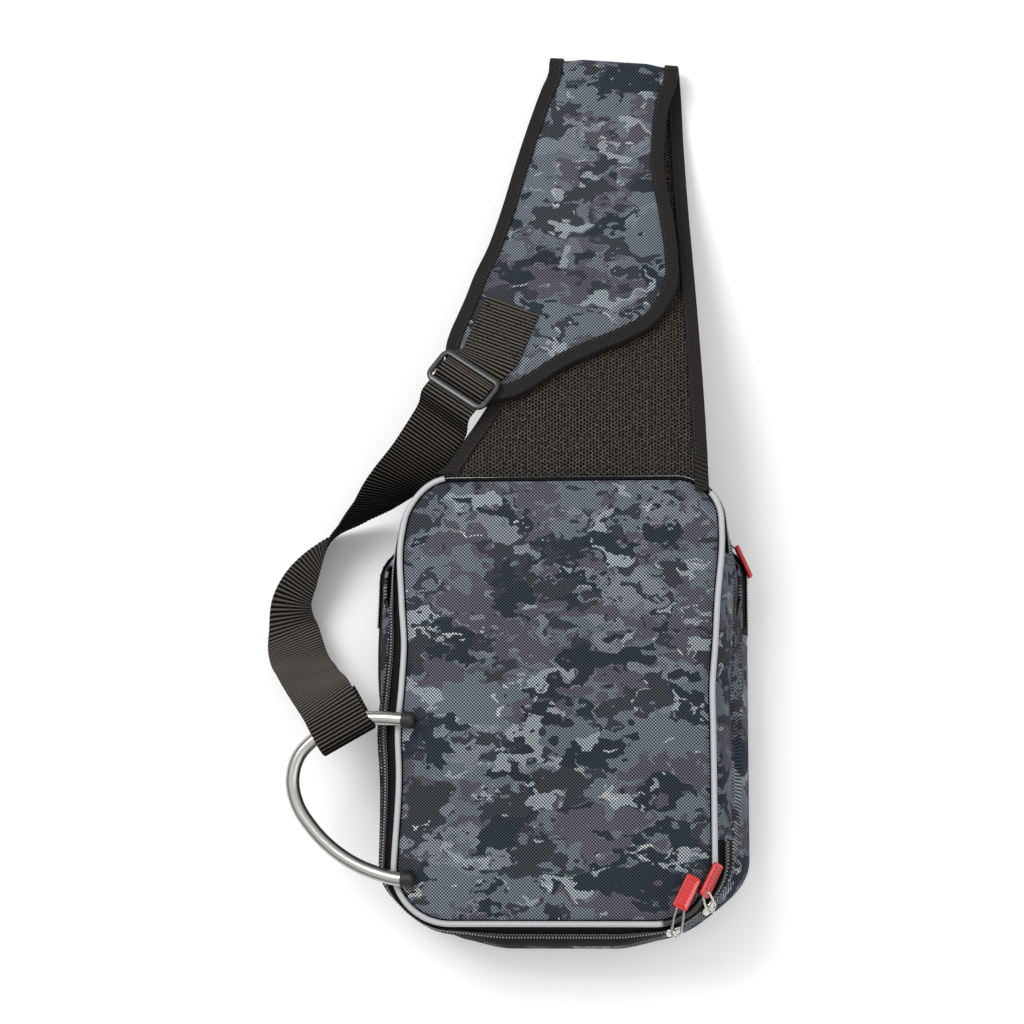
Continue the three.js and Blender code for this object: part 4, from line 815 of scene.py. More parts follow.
def strap_grid(columns=121, pitch=1.5):
    """Rungs at an even pitch along the strap, each cut into columns that crowd towards its edges: x, q,
    the distance to the nearest edge and the distance from the seam, all in millimetres."""
    both = (LEFT_EDGE + RIGHT_EDGE) / 2
    knots = lengths(both)
    at = np.linspace(0, knots[-1], int(knots[-1] / pitch) + 1)
    left, right = through(knots, LEFT_EDGE, at), through(knots, RIGHT_EDGE, at)
    hem = BINDING_T + BINDING_SEAT
    width = np.linalg.norm(right - left, axis=1, keepdims=True)
    rung = (right - left) / width
    slant = lambda line: np.maximum(np.abs(np.cross(unit(np.gradient(line, axis=0)), rung)), 0.3)[:, None]
    spread = np.linspace(0, 1, columns)
    share = EDGE_CROWD * (1 - np.cos(np.pi * spread)) / 2 + (1 - EDGE_CROWD) * spread
    first = np.minimum(hem / slant(left) / width, 0.12)
    last = np.minimum(hem / slant(right) / width, 0.12)
    share = first + share[None] * (1 - first - last)
    xq = left[:, None] + share[..., None] * (right - left)[:, None]
    edge = np.minimum(share * width * slant(left), (1 - share) * width * slant(right))
    to_tip = np.maximum((at[-1] - at)[:, None] + 0 * share, 0)
    x, q = xq[..., 0], xq[..., 1]
    from_seam = at[:, None] + 0 * share
    drop = seam_drop(x) * (1 - smoothstep(from_seam / DROP_RUN))
    tip = (hem + GAP) * (1 - smoothstep(to_tip / TIP_RUN))
    return x, q - drop - tip, np.minimum(edge, to_tip + 1.5), from_seam


def strap_skin(name, low, high, material, slot, node, relief=None):
    """Closed skin between two heights over the sheet, both given by the swelling, with relief on top of
    the upper one. The swelling runs from 0 at the binding and the seam to 1."""
    x, q, edge, from_seam = strap_grid()
    puff = smoothstep((edge - PUFF_START) / (PUFF_END - PUFF_START)) * smoothstep((from_seam - 1) / 8)
    top, bottom = high(puff), low(puff)
    if relief is not None:
        top = top + relief(x, q, from_seam)
    upper, lower = strap_point(x, q, top), strap_point(x, q, bottom)
    grid = np.concatenate([upper, lower[:, ::-1]], 1)
    u = np.concatenate([q, q[:, ::-1], q[:, :1]], 1)
    v = np.concatenate([x, x[:, ::-1], x[:, :1]], 1)
    mesh = grid_mesh(name, grid, wrap_columns=True, u=u, v=v, caps="strip")
    return place(name, mesh, material, slot, node)


def outer_face(puff):
    """The printed cloth's face lies on the far side of the sheet."""
    return -(OUTER_EDGE + PUFF_OUT * puff)


strap_skin("strap_print_cloth", outer_face, lambda puff: outer_face(puff) + CLOTH, camouflage, "camo_cloth",
           "strap_outer")

# %% [markdown]
# The side that lies on the wearer is knitted spacer mesh. A net of real holes would need millions of
# faces, so its holes are drawn by three sets of lines at sixty degrees and sunk by a bump.

# %% Air mesh
NET_PITCH, NET_WOBBLE = 2.2, 1.6       # spacing of the net's lines and how far noise nudges them, in mm
NET_WAYS = ((0.87, 0.5, 0), (-0.87, 0.5, 0), (0, 1, 0))
SEAM_DIP, SEAM_DIP_RUN, GATHER, GATHER_LONG = 1.5, 5.0, 0.35, 9.0


def seam_dip(x, q, from_seam):
    """The pad's face falls into the seam, and gathers into low puffs beside it."""
    gather = GATHER * (ripple(np.stack([x, q], -1), GATHER_LONG, 21) - 1)
    beside = smoothstep(from_seam / 4) * (1 - smoothstep((from_seam - 8) / 10))
    return -SEAM_DIP * (1 - smoothstep(from_seam / SEAM_DIP_RUN)) + gather * beside


def air_mesh():
    """Knitted polyester spacer mesh: a net with a hole every 2.5 mm, where three sets of lines at sixty
    degrees peak together, nudged by noise. The yarn is brown-black and lighter where it catches light."""
    material, tree, shader = new_material("polyester_air_mesh", 0.8, Specular_IOR_Level=0.1)
    knit = bent(tree, weave_map(tree), 220.0, 1.0, (NET_WOBBLE * MM, NET_WOBBLE * MM, 0.0))
    sets = [sine_lines(tree, knit, way, NET_PITCH, np.pi / 2) for way in NET_WAYS]
    total = maths(tree, "ADD", maths(tree, "ADD", sets[0], sets[1]), sets[2])
    yarn = mapped(tree, total, 2.05, 1.15)
    lit_colour = mixed(tree, yarn, linear("#020101"), linear("#423c36"))
    uneven = mapped(tree, noise(tree, weave_map(tree), 420.0, 3.0), 0.3, 0.7, 0.3, 1.65)
    coloured(tree, shader, scaled(tree, lit_colour, uneven))
    bump(tree, shader, yarn, 0.7)
    return material


strap_skin("strap_air_mesh", lambda puff: outer_face(puff) + CLOTH + GAP,
           lambda puff: PAD_EDGE + PUFF_IN * puff, air_mesh(), "mesh_cloth", "strap_pad", seam_dip)

# %% [markdown]
# A grosgrain tape is folded round the strap's raw edge and sewn through. It could be a bevelled curve,
# but its section is a flat U whose legs must lie on both faces, so the section is carried along the
# edge in the strap's own measures and bends with it.

# %% Binding
BINDING_TAIL = 1.45    # how far the tape's end runs round the panel's corner, against the cloth's own drop


def binding():
    """U section along the edge: each point is the edge plus a depth along the inward normal, at a
    height off the sheet."""
    line = even(np.concatenate([LEFT_EDGE, RIGHT_EDGE[::-1]]), 1.0)
    tangent = unit(np.gradient(line, axis=0))
    inward = np.stack([tangent[:, 1], -tangent[:, 0]], 1)
    ends = smoothstep(np.minimum(np.arange(len(line)), np.arange(len(line))[::-1]) / 10)[:, None]
    flat = np.array([1.0, 0.0]) * np.sign(STRAP_X - line[:, :1])
    inward = unit(inward * ends + flat * (1 - ends))
    low, high = -(OUTER_EDGE + BINDING_SEAT), PAD_EDGE + BINDING_SEAT
    deep = np.linspace(BINDING_W, 0.8, 9)
    t = BINDING_T
    section = np.concatenate([
        np.stack([deep, np.full(9, low - t)], 1), [[0.25, low - 0.75 * t], [0, low]],
        [[0, (low + high) / 2], [0, high], [0.25, high + 0.75 * t]],
        np.stack([deep[::-1], np.full(9, high + t)], 1), [[BINDING_W, high]],
        [[t, high], [t, low], [BINDING_W, low]],
    ])
    across = np.append(lengths(section), lengths(section)[-1] + t)
    xq = line[:, None] + section[None, :, :1] * inward[:, None]
    xq[..., 1] += PIPING_R * (1 - ends)
    at = np.arange(len(line), dtype=float)
    fall = 1 - smoothstep(np.minimum(at, at[::-1]) / 16)
    xq[..., 1] -= BINDING_TAIL * (seam_drop(line[:, 0]) * fall)[:, None]
    grid = strap_point(xq[..., 0], xq[..., 1], section[None, :, 1])
    mesh = grid_mesh("strap_edge_binding", grid, wrap_columns=True, u=lengths(line)[:, None], v=across[None],
                     caps=True)
    return place("strap_edge_binding", mesh, grosgrain, "black_cloth", "strap_binding")


binding()

# %% [markdown]
# Piping is a cord inside a strip of light reflective tape, squeezed out of the seam between panel and
# zip. At the lower right corner the tape's colour turns black over a stretch.

# %% Piping
def tube(line, radius, sides=12, up=(0.0, 0.0, 1.0), flat=1.0, closed=False):
    """Rings of points round a line: centre plus radius times cos and sin along two normals."""
    tangent = unit(np.roll(line, -1, 0) - np.roll(line, 1, 0) if closed else np.gradient(line, axis=0))
    side = unit(np.cross(tangent, np.asarray(up, float)))
    rise = np.cross(side, tangent)
    angle = np.linspace(0, 2 * np.pi, sides, endpoint=False)
    radius = np.broadcast_to(np.asarray(radius, float), len(line))[:, None, None]
    return line[:, None] + radius * (np.cos(angle)[None, :, None] * side[:, None]
                                     + flat * np.sin(angle)[None, :, None] * rise[:, None])


def tube_mesh(name, line, radius, sides=12, **options):
    """A capped tube with its map in millimetres along and round it."""
    grid = tube(line, radius, sides, **options)
    around = np.linspace(0, 2 * np.pi * float(np.max(radius)), sides + 1)
    return grid_mesh(name, grid, wrap_columns=True, u=lengths(line)[:, None], v=around[None], caps=True)


PIPING_SIDES = 14
RUN = np.cumsum(runs(BODY_FORM))
PIPING_ENDS = (0.12, 0.42)       # shares of the upper left and right corners where the tape starts and ends
PIPING_START = RUN[1] + PIPING_ENDS[0] * runs(BODY_FORM)[2]
PIPING_END = FULL + PIPING_ENDS[1] * runs(BODY_FORM)[0]
DARK_FROM, DARK_TO = RUN[5] + 4.0, RUN[6] - 1.0


def reflective_tape():
    """Silver-grey coated tape: pale, softly shining, and black over a stretch of the lower right corner."""
    material, tree, shader = new_material("reflective_piping_tape", 0.38, Specular_IOR_Level=0.6)
    blackening = add_node(tree, "ShaderNodeAttribute", attribute_name="black_stretch").outputs["Fac"]
    grain = add_node(tree, "ShaderNodeTexNoise", {"Scale": 700.0, "Detail": 2.0}).outputs[0]
    silver = mixed(tree, grain, linear("#999b9d"), linear("#b9bbbd"))
    coloured(tree, shader, mixed(tree, blackening, silver, linear("#0b0b0b")))
    bump(tree, shader, grain, 0.08)
    return material


def piping():
    """A tube along the outline, with an attribute that turns its colour black between two arc lengths."""
    s = np.linspace(PIPING_START, PIPING_END, int((PIPING_END - PIPING_START) / 1.5))
    xy, _ = outline(BODY_FORM, s)
    line = np.concatenate([xy, np.full((len(s), 1), PIPING_Z)], 1)
    mesh = tube_mesh("edge_piping", line, PIPING_R, PIPING_SIDES)
    black_stretch = smoothstep((s - DARK_FROM) / 3) * smoothstep((DARK_TO - s) / 3)
    values = np.concatenate([np.repeat(black_stretch, PIPING_SIDES), black_stretch[[0, -1]]])
    layer = mesh.attributes.new("black_stretch", "FLOAT", "POINT")
    layer.data.foreach_set("value", values.astype(np.float32))
    return place("edge_piping", mesh, reflective_tape(), "piping", "piping")


piping()

# %% [markdown]
# The ring is one bent steel rod, brushed along its length. Its open ends sit in rubber boots beside the
# piping. The webbing comes over it and returns underneath, so the ring's line is worked out first.

# %% Ring
ROD_R, RING_CHORD, RING_REACH, RING_TILT, RING_TOP_Y, RING_IN = 4.8, 106.0, 77.0, 6.0, -13.5, 6.0
BOOT_R, BOOT_L = 6.1, 10.0
# The ring's middle line: share of its chord, from the upper boot to the lower, and share of its reach.
RING_ROWS = np.array([
    [0.000, 0.000], [-0.010, 0.150], [-0.015, 0.350], [0.035, 0.610], [0.120, 0.850], [0.230, 0.990],
    [0.380, 1.040], [0.530, 0.995], [0.680, 0.860], [0.810, 0.680], [0.905, 0.480], [0.965, 0.280],
    [1.000, 0.080], [1.003, 0.000],
])
RING_Z = PIPING_Z + PIPING_R + GAP + BOOT_R
RING_X = -PANEL_W / 2 + RING_IN


def ring_point(chord, reach):
    """A place in the ring's drooping plane, from shares of its chord and reach."""
    out = np.asarray(reach) * RING_REACH
    tilt = np.radians(RING_TILT)
    return np.stack([RING_X - out * np.cos(tilt), RING_TOP_Y - np.asarray(chord) * RING_CHORD,
                     RING_Z - out * np.sin(tilt)], -1)


def brushed_steel():
    """Stainless steel, polished then brushed: fine streaks run round the rod's own map."""
    material, tree, shader = new_material("brushed_stainless_steel", 0.3, Metallic=1.0)
    streak = noise(tree, stretched(tree, weave_map(tree), (60.0, 2600.0, 1.0)), 1.0, 4.0)
    coloured(tree, shader, mixed(tree, streak, linear("#8d8b87"), linear("#c8c6c2")))
    tree.links.new(mapped(tree, streak, 0.0, 1.0, 0.16, 0.32), shader.inputs["Roughness"])
    bump(tree, shader, streak, 0.03)
    return material


RING_LINE = even(ring_point(RING_ROWS[:, 0], RING_ROWS[:, 1]), 1.5)
place("steel_ring", tube_mesh("steel_ring", RING_LINE, ROD_R, 28), brushed_steel(), "ring_steel", "ring")

# %% [markdown]
# The webbing is one 40 mm nylon strap. Its end is sewn flat on the flap, it runs through the adjuster,
# hangs down beside the bag, stands on edge on the floor and comes up over the ring. It is a ribbon:
# a middle line and the direction of its width, both smooth, with a rounded section and woven ribs.

# %% Webbing path
WEBBING_W, WEBBING_T, PATCH_L, WEBBING_SEAT = 40.0, 1.8, 41.0, 0.4
PATCH_X, PATCH_ALONG, PATCH_TURN = -0.264, 0.805, 21.5
GLIDE_X, GLIDE_ALONG, GLIDE_TURN = -0.398, 0.952, 36.8
GLIDE_L, GLIDE_RAIL, GLIDE_BAR, GLIDE_MID, GLIDE_T, GLIDE_STEP = 27.0, 3.4, 4.5, 5.0, 3.5, 2.2
LOOP_SWING, LOOP_SLACK, LOOP_BACK, LOOP_ENTRY = 29.0, 0.5, 26.0, 6.0
WEBBING_LIFT = OUTER_EDGE + PUFF_OUT + WEBBING_SEAT + WEBBING_T / 2
BAR_LIFT = WEBBING_T / 2 + GAP
MID_LIFT = BAR_LIFT - GLIDE_STEP + GLIDE_MID / 2 + GAP + WEBBING_T / 2
LOOP_R = ROD_R + LOOP_SLACK + WEBBING_T / 2
# The free run: shares of the way from the adjuster to the ring along and out beside it, height as a share
# of the bag's, and the angles by which the width swings about the upright and leans from the floor.
WEBBING_ROWS = np.array([
    [0.120, 0.021, 1.00, -37, 2], [0.172, 0.033, 0.95, -41, 4], [0.244, 0.055, 0.86, -48, 25.5],
    [0.321, 0.099, 0.70, -55, 53], [0.391, 0.140, 0.50, -57, 72.5], [0.460, 0.192, 0.33, -52, 87.5],
    [0.508, 0.228, 0.265, -40, 97], [0.560, 0.254, 0.225, -27, 112], [0.605, 0.270, 0.205, -20, 124],
    [0.651, 0.281, 0.19, -15, 134], [0.739, 0.286, 0.165, -10, 144], [0.801, 0.260, 0.17, -6, 153],
    [0.867, 0.209, 0.33, -2, 164], [0.915, 0.136, 0.66, 10, 179],
])


def over_flap(x, y, lift):
    """Point over the flap's printed face at plan place x, y."""
    x, y = np.broadcast_arrays(np.asarray(x, float), np.asarray(y, float))
    return strap_point(x, STRAP_RUN + FOLD_LENGTH + (FOLD_Y - y), -lift)


def heading(degrees):
    """Unit steps ahead and across for a strap turned by degrees from the bag's length."""
    a = np.radians(degrees)
    return np.array([-np.sin(a), -np.cos(a)]), np.array([np.cos(a), -np.sin(a)])


def glide_frame():
    """Origin and axes of the adjuster, from the flap's slope under it."""
    middle = np.array([STRAP_X + GLIDE_X * STRAP_W, FOLD_Y - GLIDE_ALONG * FLAP_RUN])
    ahead, across = heading(GLIDE_TURN)
    at = lambda step: over_flap(*(middle + step), WEBBING_LIFT)
    a = unit(at(ahead) - at(-ahead))
    c = unit(at(across) - at(-across))
    up = unit(np.cross(c, a))
    up = up if up[2] > 0 else -up
    c = unit(np.cross(a, up))
    return at(np.zeros(2)), a, c if c[0] > 0 else -c, up


def loop_frame():
    """Origin, axes and reach of the webbing's loop round the ring."""
    swing, slope = np.radians(LOOP_SWING), np.sin(np.radians(RING_TILT))
    across = unit(np.array([np.cos(swing), np.sin(swing), slope * np.cos(swing)]))
    ahead = unit(np.array([np.sin(swing), -np.cos(swing), slope * np.sin(swing)]))
    up = unit(np.cross(across, ahead))
    up = up if up[2] > 0 else -up
    origin = ring_point(0.035, 0.6)
    rel = RING_LINE[:len(RING_LINE) // 2] - origin
    near = np.abs(rel @ across) < WEBBING_W / 2 + 1
    return origin, ahead, across, up, float((rel @ ahead)[near].max())


GLIDE_AT, GLIDE_AHEAD, GLIDE_ACROSS, GLIDE_UP = glide_frame()
LOOP_AT, LOOP_AHEAD, LOOP_ACROSS, LOOP_UP, LOOP_REACH = loop_frame()
PATCH_MID = np.array([STRAP_X + PATCH_X * STRAP_W, FOLD_Y - PATCH_ALONG * FLAP_RUN])
print("adjuster at", GLIDE_AT.round(), "mm, loop at", LOOP_AT.round(), "mm")

# %% [markdown]
# The line itself is joined from five stretches: the sewn end, the adjuster's hump, the free run, the loop
# and the return. Each is plain geometry, and only the free run is drawn smooth through chosen places.

# %% Webbing line
def on_glide(ahead, lift):
    """Points along the adjuster, lifted off the flap."""
    return GLIDE_AT + np.multiply.outer(ahead, GLIDE_AHEAD) + np.multiply.outer(lift, GLIDE_UP)


def on_loop(ahead, lift):
    """Points along the loop, lifted off the ring's plane."""
    return LOOP_AT + np.multiply.outer(ahead, LOOP_AHEAD) + np.multiply.outer(lift, LOOP_UP)


def sewn_end():
    """The flat end's middle line and width directions, on the flap's printed face."""
    ahead, across = heading(PATCH_TURN)
    flat = PATCH_MID + np.linspace(-0.5, 0.5, 34)[:, None] * PATCH_L * ahead
    half = WEBBING_W / 2 * across
    wide = lambda k: over_flap(flat[:, 0] + k * half[0], flat[:, 1] + k * half[1], WEBBING_LIFT)
    return wide(0), unit(wide(1) - wide(-1))


SIDE_WEIGHT = 30.0     # width directions weigh this many millimetres where the run is cut into even steps


def free_run():
    """From the adjuster to the ring: places beside the straight line between them, from WEBBING_ROWS."""
    entry = on_loop(-LOOP_ENTRY, LOOP_R)
    line = entry - GLIDE_AT
    line[2] = 0
    length = np.linalg.norm(line)
    line = line / length
    out = np.array([line[1], -line[0], 0])
    rows = WEBBING_ROWS
    mids = GLIDE_AT + rows[:, :1] * length * line + rows[:, 1:2] * length * out
    mids[:, 2] = rows[:, 2] * BODY_H
    swing, lean = np.radians(rows[:, 3]), np.radians(rows[:, 4])
    sides = np.stack([np.cos(lean) * np.cos(swing), np.cos(lean) * np.sin(swing), -np.sin(lean)], 1)
    start = [on_glide(GLIDE_L / 2, 0.0), on_glide(GLIDE_L / 2 + 6, 0.0)]
    mids = np.concatenate([start, mids, [on_loop(-2 * LOOP_ENTRY, LOOP_R - 1), entry]])
    sides = np.concatenate([[GLIDE_ACROSS] * 2, sides, [-LOOP_ACROSS] * 2])
    free = even(np.concatenate([mids, sides * SIDE_WEIGHT], 1), 1.0)[1:]
    return free[:, :3], unit(free[:, 3:])


def webbing_line():
    """The webbing's middle line and width directions: flat end, adjuster, free run, loop and return.
    It turns over once on the way down, so its width points the other way at the ring."""
    patch, patch_side = sewn_end()
    bar = GLIDE_L / 2
    run = np.linspace(-bar, bar, 40)
    slot_end, mid_end = bar - GLIDE_BAR - 0.5, GLIDE_MID / 2 + 0.4
    glide = on_glide(run, MID_LIFT * smoothstep((slot_end - np.abs(run)) / (slot_end - mid_end)))
    free, free_side = free_run()
    over = on_loop(np.linspace(-LOOP_ENTRY, LOOP_REACH, 12)[1:-1], np.full(10, LOOP_R))
    turn = np.linspace(0, np.pi, 26)
    bend = on_loop(LOOP_REACH + LOOP_R * np.sin(turn), LOOP_R * np.cos(turn))
    under = np.linspace(0, 1, 18)[1:]
    back = on_loop(LOOP_REACH - LOOP_BACK * under, -LOOP_R + under**2)
    ring_side = np.repeat(-LOOP_ACROSS[None], len(over) + len(bend) + len(back), 0)
    glide_side = np.repeat(GLIDE_ACROSS[None], len(run), 0)
    middle = np.concatenate([patch, glide, free, over, bend, back])
    return middle, np.concatenate([patch_side, glide_side, free_side, ring_side])


def resample(middle, side, pitch):
    """Cuts the ribbon into equal steps, without smoothing it further."""
    run = lengths(middle)
    at = np.linspace(0, run[-1], int(run[-1] / pitch) + 1)
    pick = lambda values: np.stack([np.interp(at, run, values[:, k]) for k in range(3)], 1)
    return at, pick(middle), unit(pick(side))


RIB, RIB_DEPTH = 2.6, 0.3        # spacing of the webbing's woven ribs, and their depth as a share
WEBBING_EDGE = 0.4               # half the thickness at the webbing's flattened edges
GIVEN_RUN = 2 * PATCH_L + 10     # up to here the ribs lie as given, so that they don't cross at the turn
SQUARE_RUN = 40.0                # and over this length they come square to the webbing


def webbing():
    """A rounded section 40 by 1.8 mm round the ribbon's line, thicker at each rib by a cosine."""
    at, middle, side = resample(*webbing_line(), RIB / 6)
    tangent = unit(np.gradient(middle, axis=0))
    square = smoothstep((at - GIVEN_RUN) / SQUARE_RUN)[:, None]
    side = unit(side - square * np.sum(side * tangent, 1, keepdims=True) * tangent)
    normal = unit(np.cross(side, tangent))
    half, thick, edge = WEBBING_W / 2, WEBBING_T / 2, WEBBING_EDGE
    face = np.linspace(-1, 1, 15) * (half - 0.5)
    top = np.column_stack([face, 0 * face + thick])
    section = np.concatenate([top, [[half, edge], [half, -edge]], -top, [[-half, -edge], [-half, edge]]])
    rib = 1 - RIB_DEPTH * (1 - np.cos(2 * np.pi * at / RIB))[:, None, None]
    grid = (middle[:, None] + section[None, :, :1] * side[:, None]
            + section[None, :, 1:] * rib * normal[:, None])
    across = np.append(lengths(section), lengths(section)[-1] + 1)
    mesh = grid_mesh("nylon_webbing", grid, wrap_columns=True, u=at[:, None], v=across[None], caps=True)
    print("webbing", round(at[-1]), "mm long")
    return place("nylon_webbing", mesh, webbing_yarn, "webbing", "webbing")


webbing()

# %% [markdown]
# Zip teeth and stitches are hundreds of tiny rounded bars. Instanced objects would be many pieces, so
# one low ball of forty faces is stretched, turned and set down at every place in one mesh.

# %% Small bars
def small_ball(sides=8, power=0.7):
    """Points, quads and triangles of a squarish ball: sines and cosines keep their sign and are raised
    to a power."""
    soft = lambda v: np.sign(v) * np.abs(v) ** power
    lat = np.radians([-58.0, -22.0, 22.0, 58.0])
    lon = np.linspace(0, 2 * np.pi, sides, endpoint=False) + 0.1
    flat, high = soft(np.cos(lat))[:, None], soft(np.sin(lat))[:, None]
    ring = np.stack([flat * soft(np.cos(lon)), flat * soft(np.sin(lon)), high + 0 * lon], -1)
    points = np.concatenate([ring.reshape(-1, 3), [[0, 0, -1], [0, 0, 1]]])
    i, j = [g.ravel() for g in np.meshgrid(np.arange(3), np.arange(sides), indexing="ij")]
    k = (j + 1) % sides
    quads = np.stack([i * sides + j, i * sides + k, (i + 1) * sides + k, (i + 1) * sides + j], 1)
    j, k = np.arange(sides), (np.arange(sides) + 1) % sides
    south, north = np.full(sides, 4 * sides), np.full(sides, 4 * sides + 1)
    fans = np.concatenate([np.stack([k, j, south], 1), np.stack([3 * sides + j, 3 * sides + k, north], 1)])
    return points, quads, fans


def small_bars(name, half, at, ahead, up):
    """One mesh of bars: each point is at + x * ahead + y * side + z * up, times the half sizes."""
    base, quads, fans = small_ball()
    ahead = unit(ahead)
    up = unit(up - np.sum(up * ahead, -1, keepdims=True) * ahead)
    side = np.cross(up, ahead)
    size = base * np.array(half)
    points = (at[:, None] + size[None, :, :1] * ahead[:, None] + size[None, :, 1:2] * side[:, None]
              + size[None, :, 2:] * up[:, None]).reshape(-1, 3)
    step = (np.arange(len(at)) * len(base))[:, None, None]
    return as_mesh(name, points, (quads[None] + step).reshape(-1, 4), (fans[None] + step).reshape(-1, 3))


def plain(name, colour, roughness, height_mm=0.0, grain=900.0, **sockets):
    """An even material with fine grain in its shade and, if asked for, in its surface."""
    material, tree, shader = new_material(name, roughness, **sockets)
    pits = noise(tree, object_place(tree), grain, 3.0)
    coloured(tree, shader, scaled(tree, linear(colour)[:3], mapped(tree, pits, 0.0, 1.0, 0.8, 1.2)))
    if height_mm:
        bump(tree, shader, pits, height_mm)
    return material


# Moulded nylon is black; the coil's ends are painted pale grey as painted highlights, and read as rows of
# glints.
tooth_nylon = plain("moulded_black_nylon", "#0c0c0c", 0.3, Specular_IOR_Level=0.3)
coil_nylon = plain("coil_nylon_painted_glints", "#a8a8aa", 0.25, Specular_IOR_Level=0.9)
# Sewing thread is matt and a little lighter than the tape that it holds.
thread = plain("black_sewing_thread", "#1d1c1c", 0.6)
print("small bars of", len(small_ball()[1]) + len(small_ball()[2]), "faces")

# %% [markdown]
# The main zip is a black coil on its tape. Two rows of coil ends show, set half a pitch apart, over a
# flat core. The pocket's zip is the same, lower down on the pocket's wall.

# %% Zip chains
CHAIN_DOWN, POCKET_ZIP_DOWN, CHAIN_W, CHAIN_T, CHAIN_PITCH = 0.27, 0.2, 5.0, 1.6, 2.0


def zip_chain(name, form, section, bulge, start, end, low, high, down, node):
    """A core of elliptical section on the band, and two rows of bars each a quarter width off its middle."""
    s = np.arange(start, end, CHAIN_PITCH / 2)
    core = band_points(form, section, bulge, s, down, low, high, GAP + 0.55)
    piece = tube_mesh(name + "_core", core, 0.55, 12, flat=CHAIN_W / 1.1)
    place(name + "_core", piece, tooth_nylon, "zip_teeth", node)
    row = np.where(np.arange(len(s)) % 2 == 0, 1.0, -1.0) * CHAIN_W / 4 / (high - low)
    at = band_points(form, section, bulge, s, down + row, low, high, GAP + 1.15)
    _, normal = outline(form, s)
    up = np.concatenate([normal, np.zeros((len(s), 1))], 1)
    bars = small_bars(name + "_coil", (0.5, 0.75, 0.6), at, np.gradient(core, axis=0), up)
    return place(name + "_coil", bars, coil_nylon, "zip_teeth")


zip_chain("main_zip", *MAIN, ZIP_START, ZIP_END, TAPE_LOW, TAPE_TOP, CHAIN_DOWN, "zip_teeth")
POCKET_SIDE = 34.0           # how far the pocket's zip runs down each side
pocket_run = np.cumsum(runs(POCKET_FORM))
TAPE_EDGES = (0.05, 0.42)    # black tape on both sides of the pocket's zip, as shares of the wall


def pocket_tape(start, end):
    """A thin closed strip of black tape on the pocket's wall, under its zip and on down its left side well
    past the zip's end, which stands out by the clearance.
    """
    s = np.linspace(start, end, int((end - start) / 1.6) + 1)
    down = np.linspace(*TAPE_EDGES, 12)
    face = np.concatenate([down, down[::-1]])
    side = np.concatenate([np.full(12, GAP), np.full(12, -0.5)])
    grid = band_points(*POCKET, s[:, None], face[None], CLOTH + GAP, POCKET_H, side[None])
    across = np.append(face, face[0]) * POCKET_H
    mesh = grid_mesh("pocket_zip_tape", grid, wrap_columns=True, u=s[:, None], v=across[None], caps="strip")
    return place("pocket_zip_tape", mesh, zip_tape, "black_cloth")


pocket_tape(-POCKET_SIDE - 6, pocket_run[3] - 20)
zip_chain("pocket_zip", *POCKET, -POCKET_SIDE, pocket_run[2] + POCKET_SIDE, CLOTH + GAP, POCKET_H,
          POCKET_ZIP_DOWN, "pocket_teeth")

# %% [markdown]
# The adjuster is one injection-moulded frame with a lower bar in its middle. Its edges are rounded, so
# it is a rounded section carried between two matched rounded outlines, not a bevelled box.

# %% Rounded blocks
def rounded(half_x, half_y, radius, arc=7, side=9):
    """Points round a rectangle with rounded corners, in the same order and number whatever its size."""
    turn = np.linspace(0, np.pi / 2, arc)
    points = []
    for corner, (sx, sy) in enumerate([(1, 1), (-1, 1), (-1, -1), (1, -1)]):
        angle = turn + corner * np.pi / 2
        centre = np.array([sx * (half_x - radius), sy * (half_y - radius)])
        points.append(centre + radius * np.stack([np.cos(angle), np.sin(angle)], 1))
    spans = []
    for corner in range(4):
        start, end = points[corner][-1], points[(corner + 1) % 4][0]
        spans += [points[corner], start + np.linspace(0, 1, side + 2)[1:-1, None] * (end - start)]
    return np.concatenate(spans)


def level(outline_xy, z):
    """An outline in the plane, at height z."""
    return np.column_stack([outline_xy, np.full(len(outline_xy), z)])


def block(half, radius, steps=6):
    """Grid of a block rounded on all its edges: rounded sections whose inset follows a quarter circle."""
    turn = np.linspace(0, np.pi / 2, steps)
    inset = radius * (1 - np.sin(turn))
    run = radius * (1 - np.cos(turn))
    inset = np.concatenate([inset, inset[::-1]])
    run = np.concatenate([-half[2] + run, (half[2] - run)[::-1]])
    return np.stack([level(rounded(half[0] - d, half[1] - d, max(radius * 1.2 - d, 0.2)), z)
                     for d, z in zip(inset, run)])


def posed(points, at, x, z):
    """Points turned so that their x runs along x and their z as near z as it can, then moved to at."""
    x = unit(np.asarray(x, float))
    y = unit(np.cross(z, x))
    return np.asarray(at) + points @ np.stack([x, y, np.cross(x, y)])


print("a block is a grid of", block((2, 2, 1), 0.5).shape[:2], "points")

# %% [markdown]
# The frame's section is walked between two outlines that have the same number of points. Two short rails
# carry the low bar that the webbing climbs over.

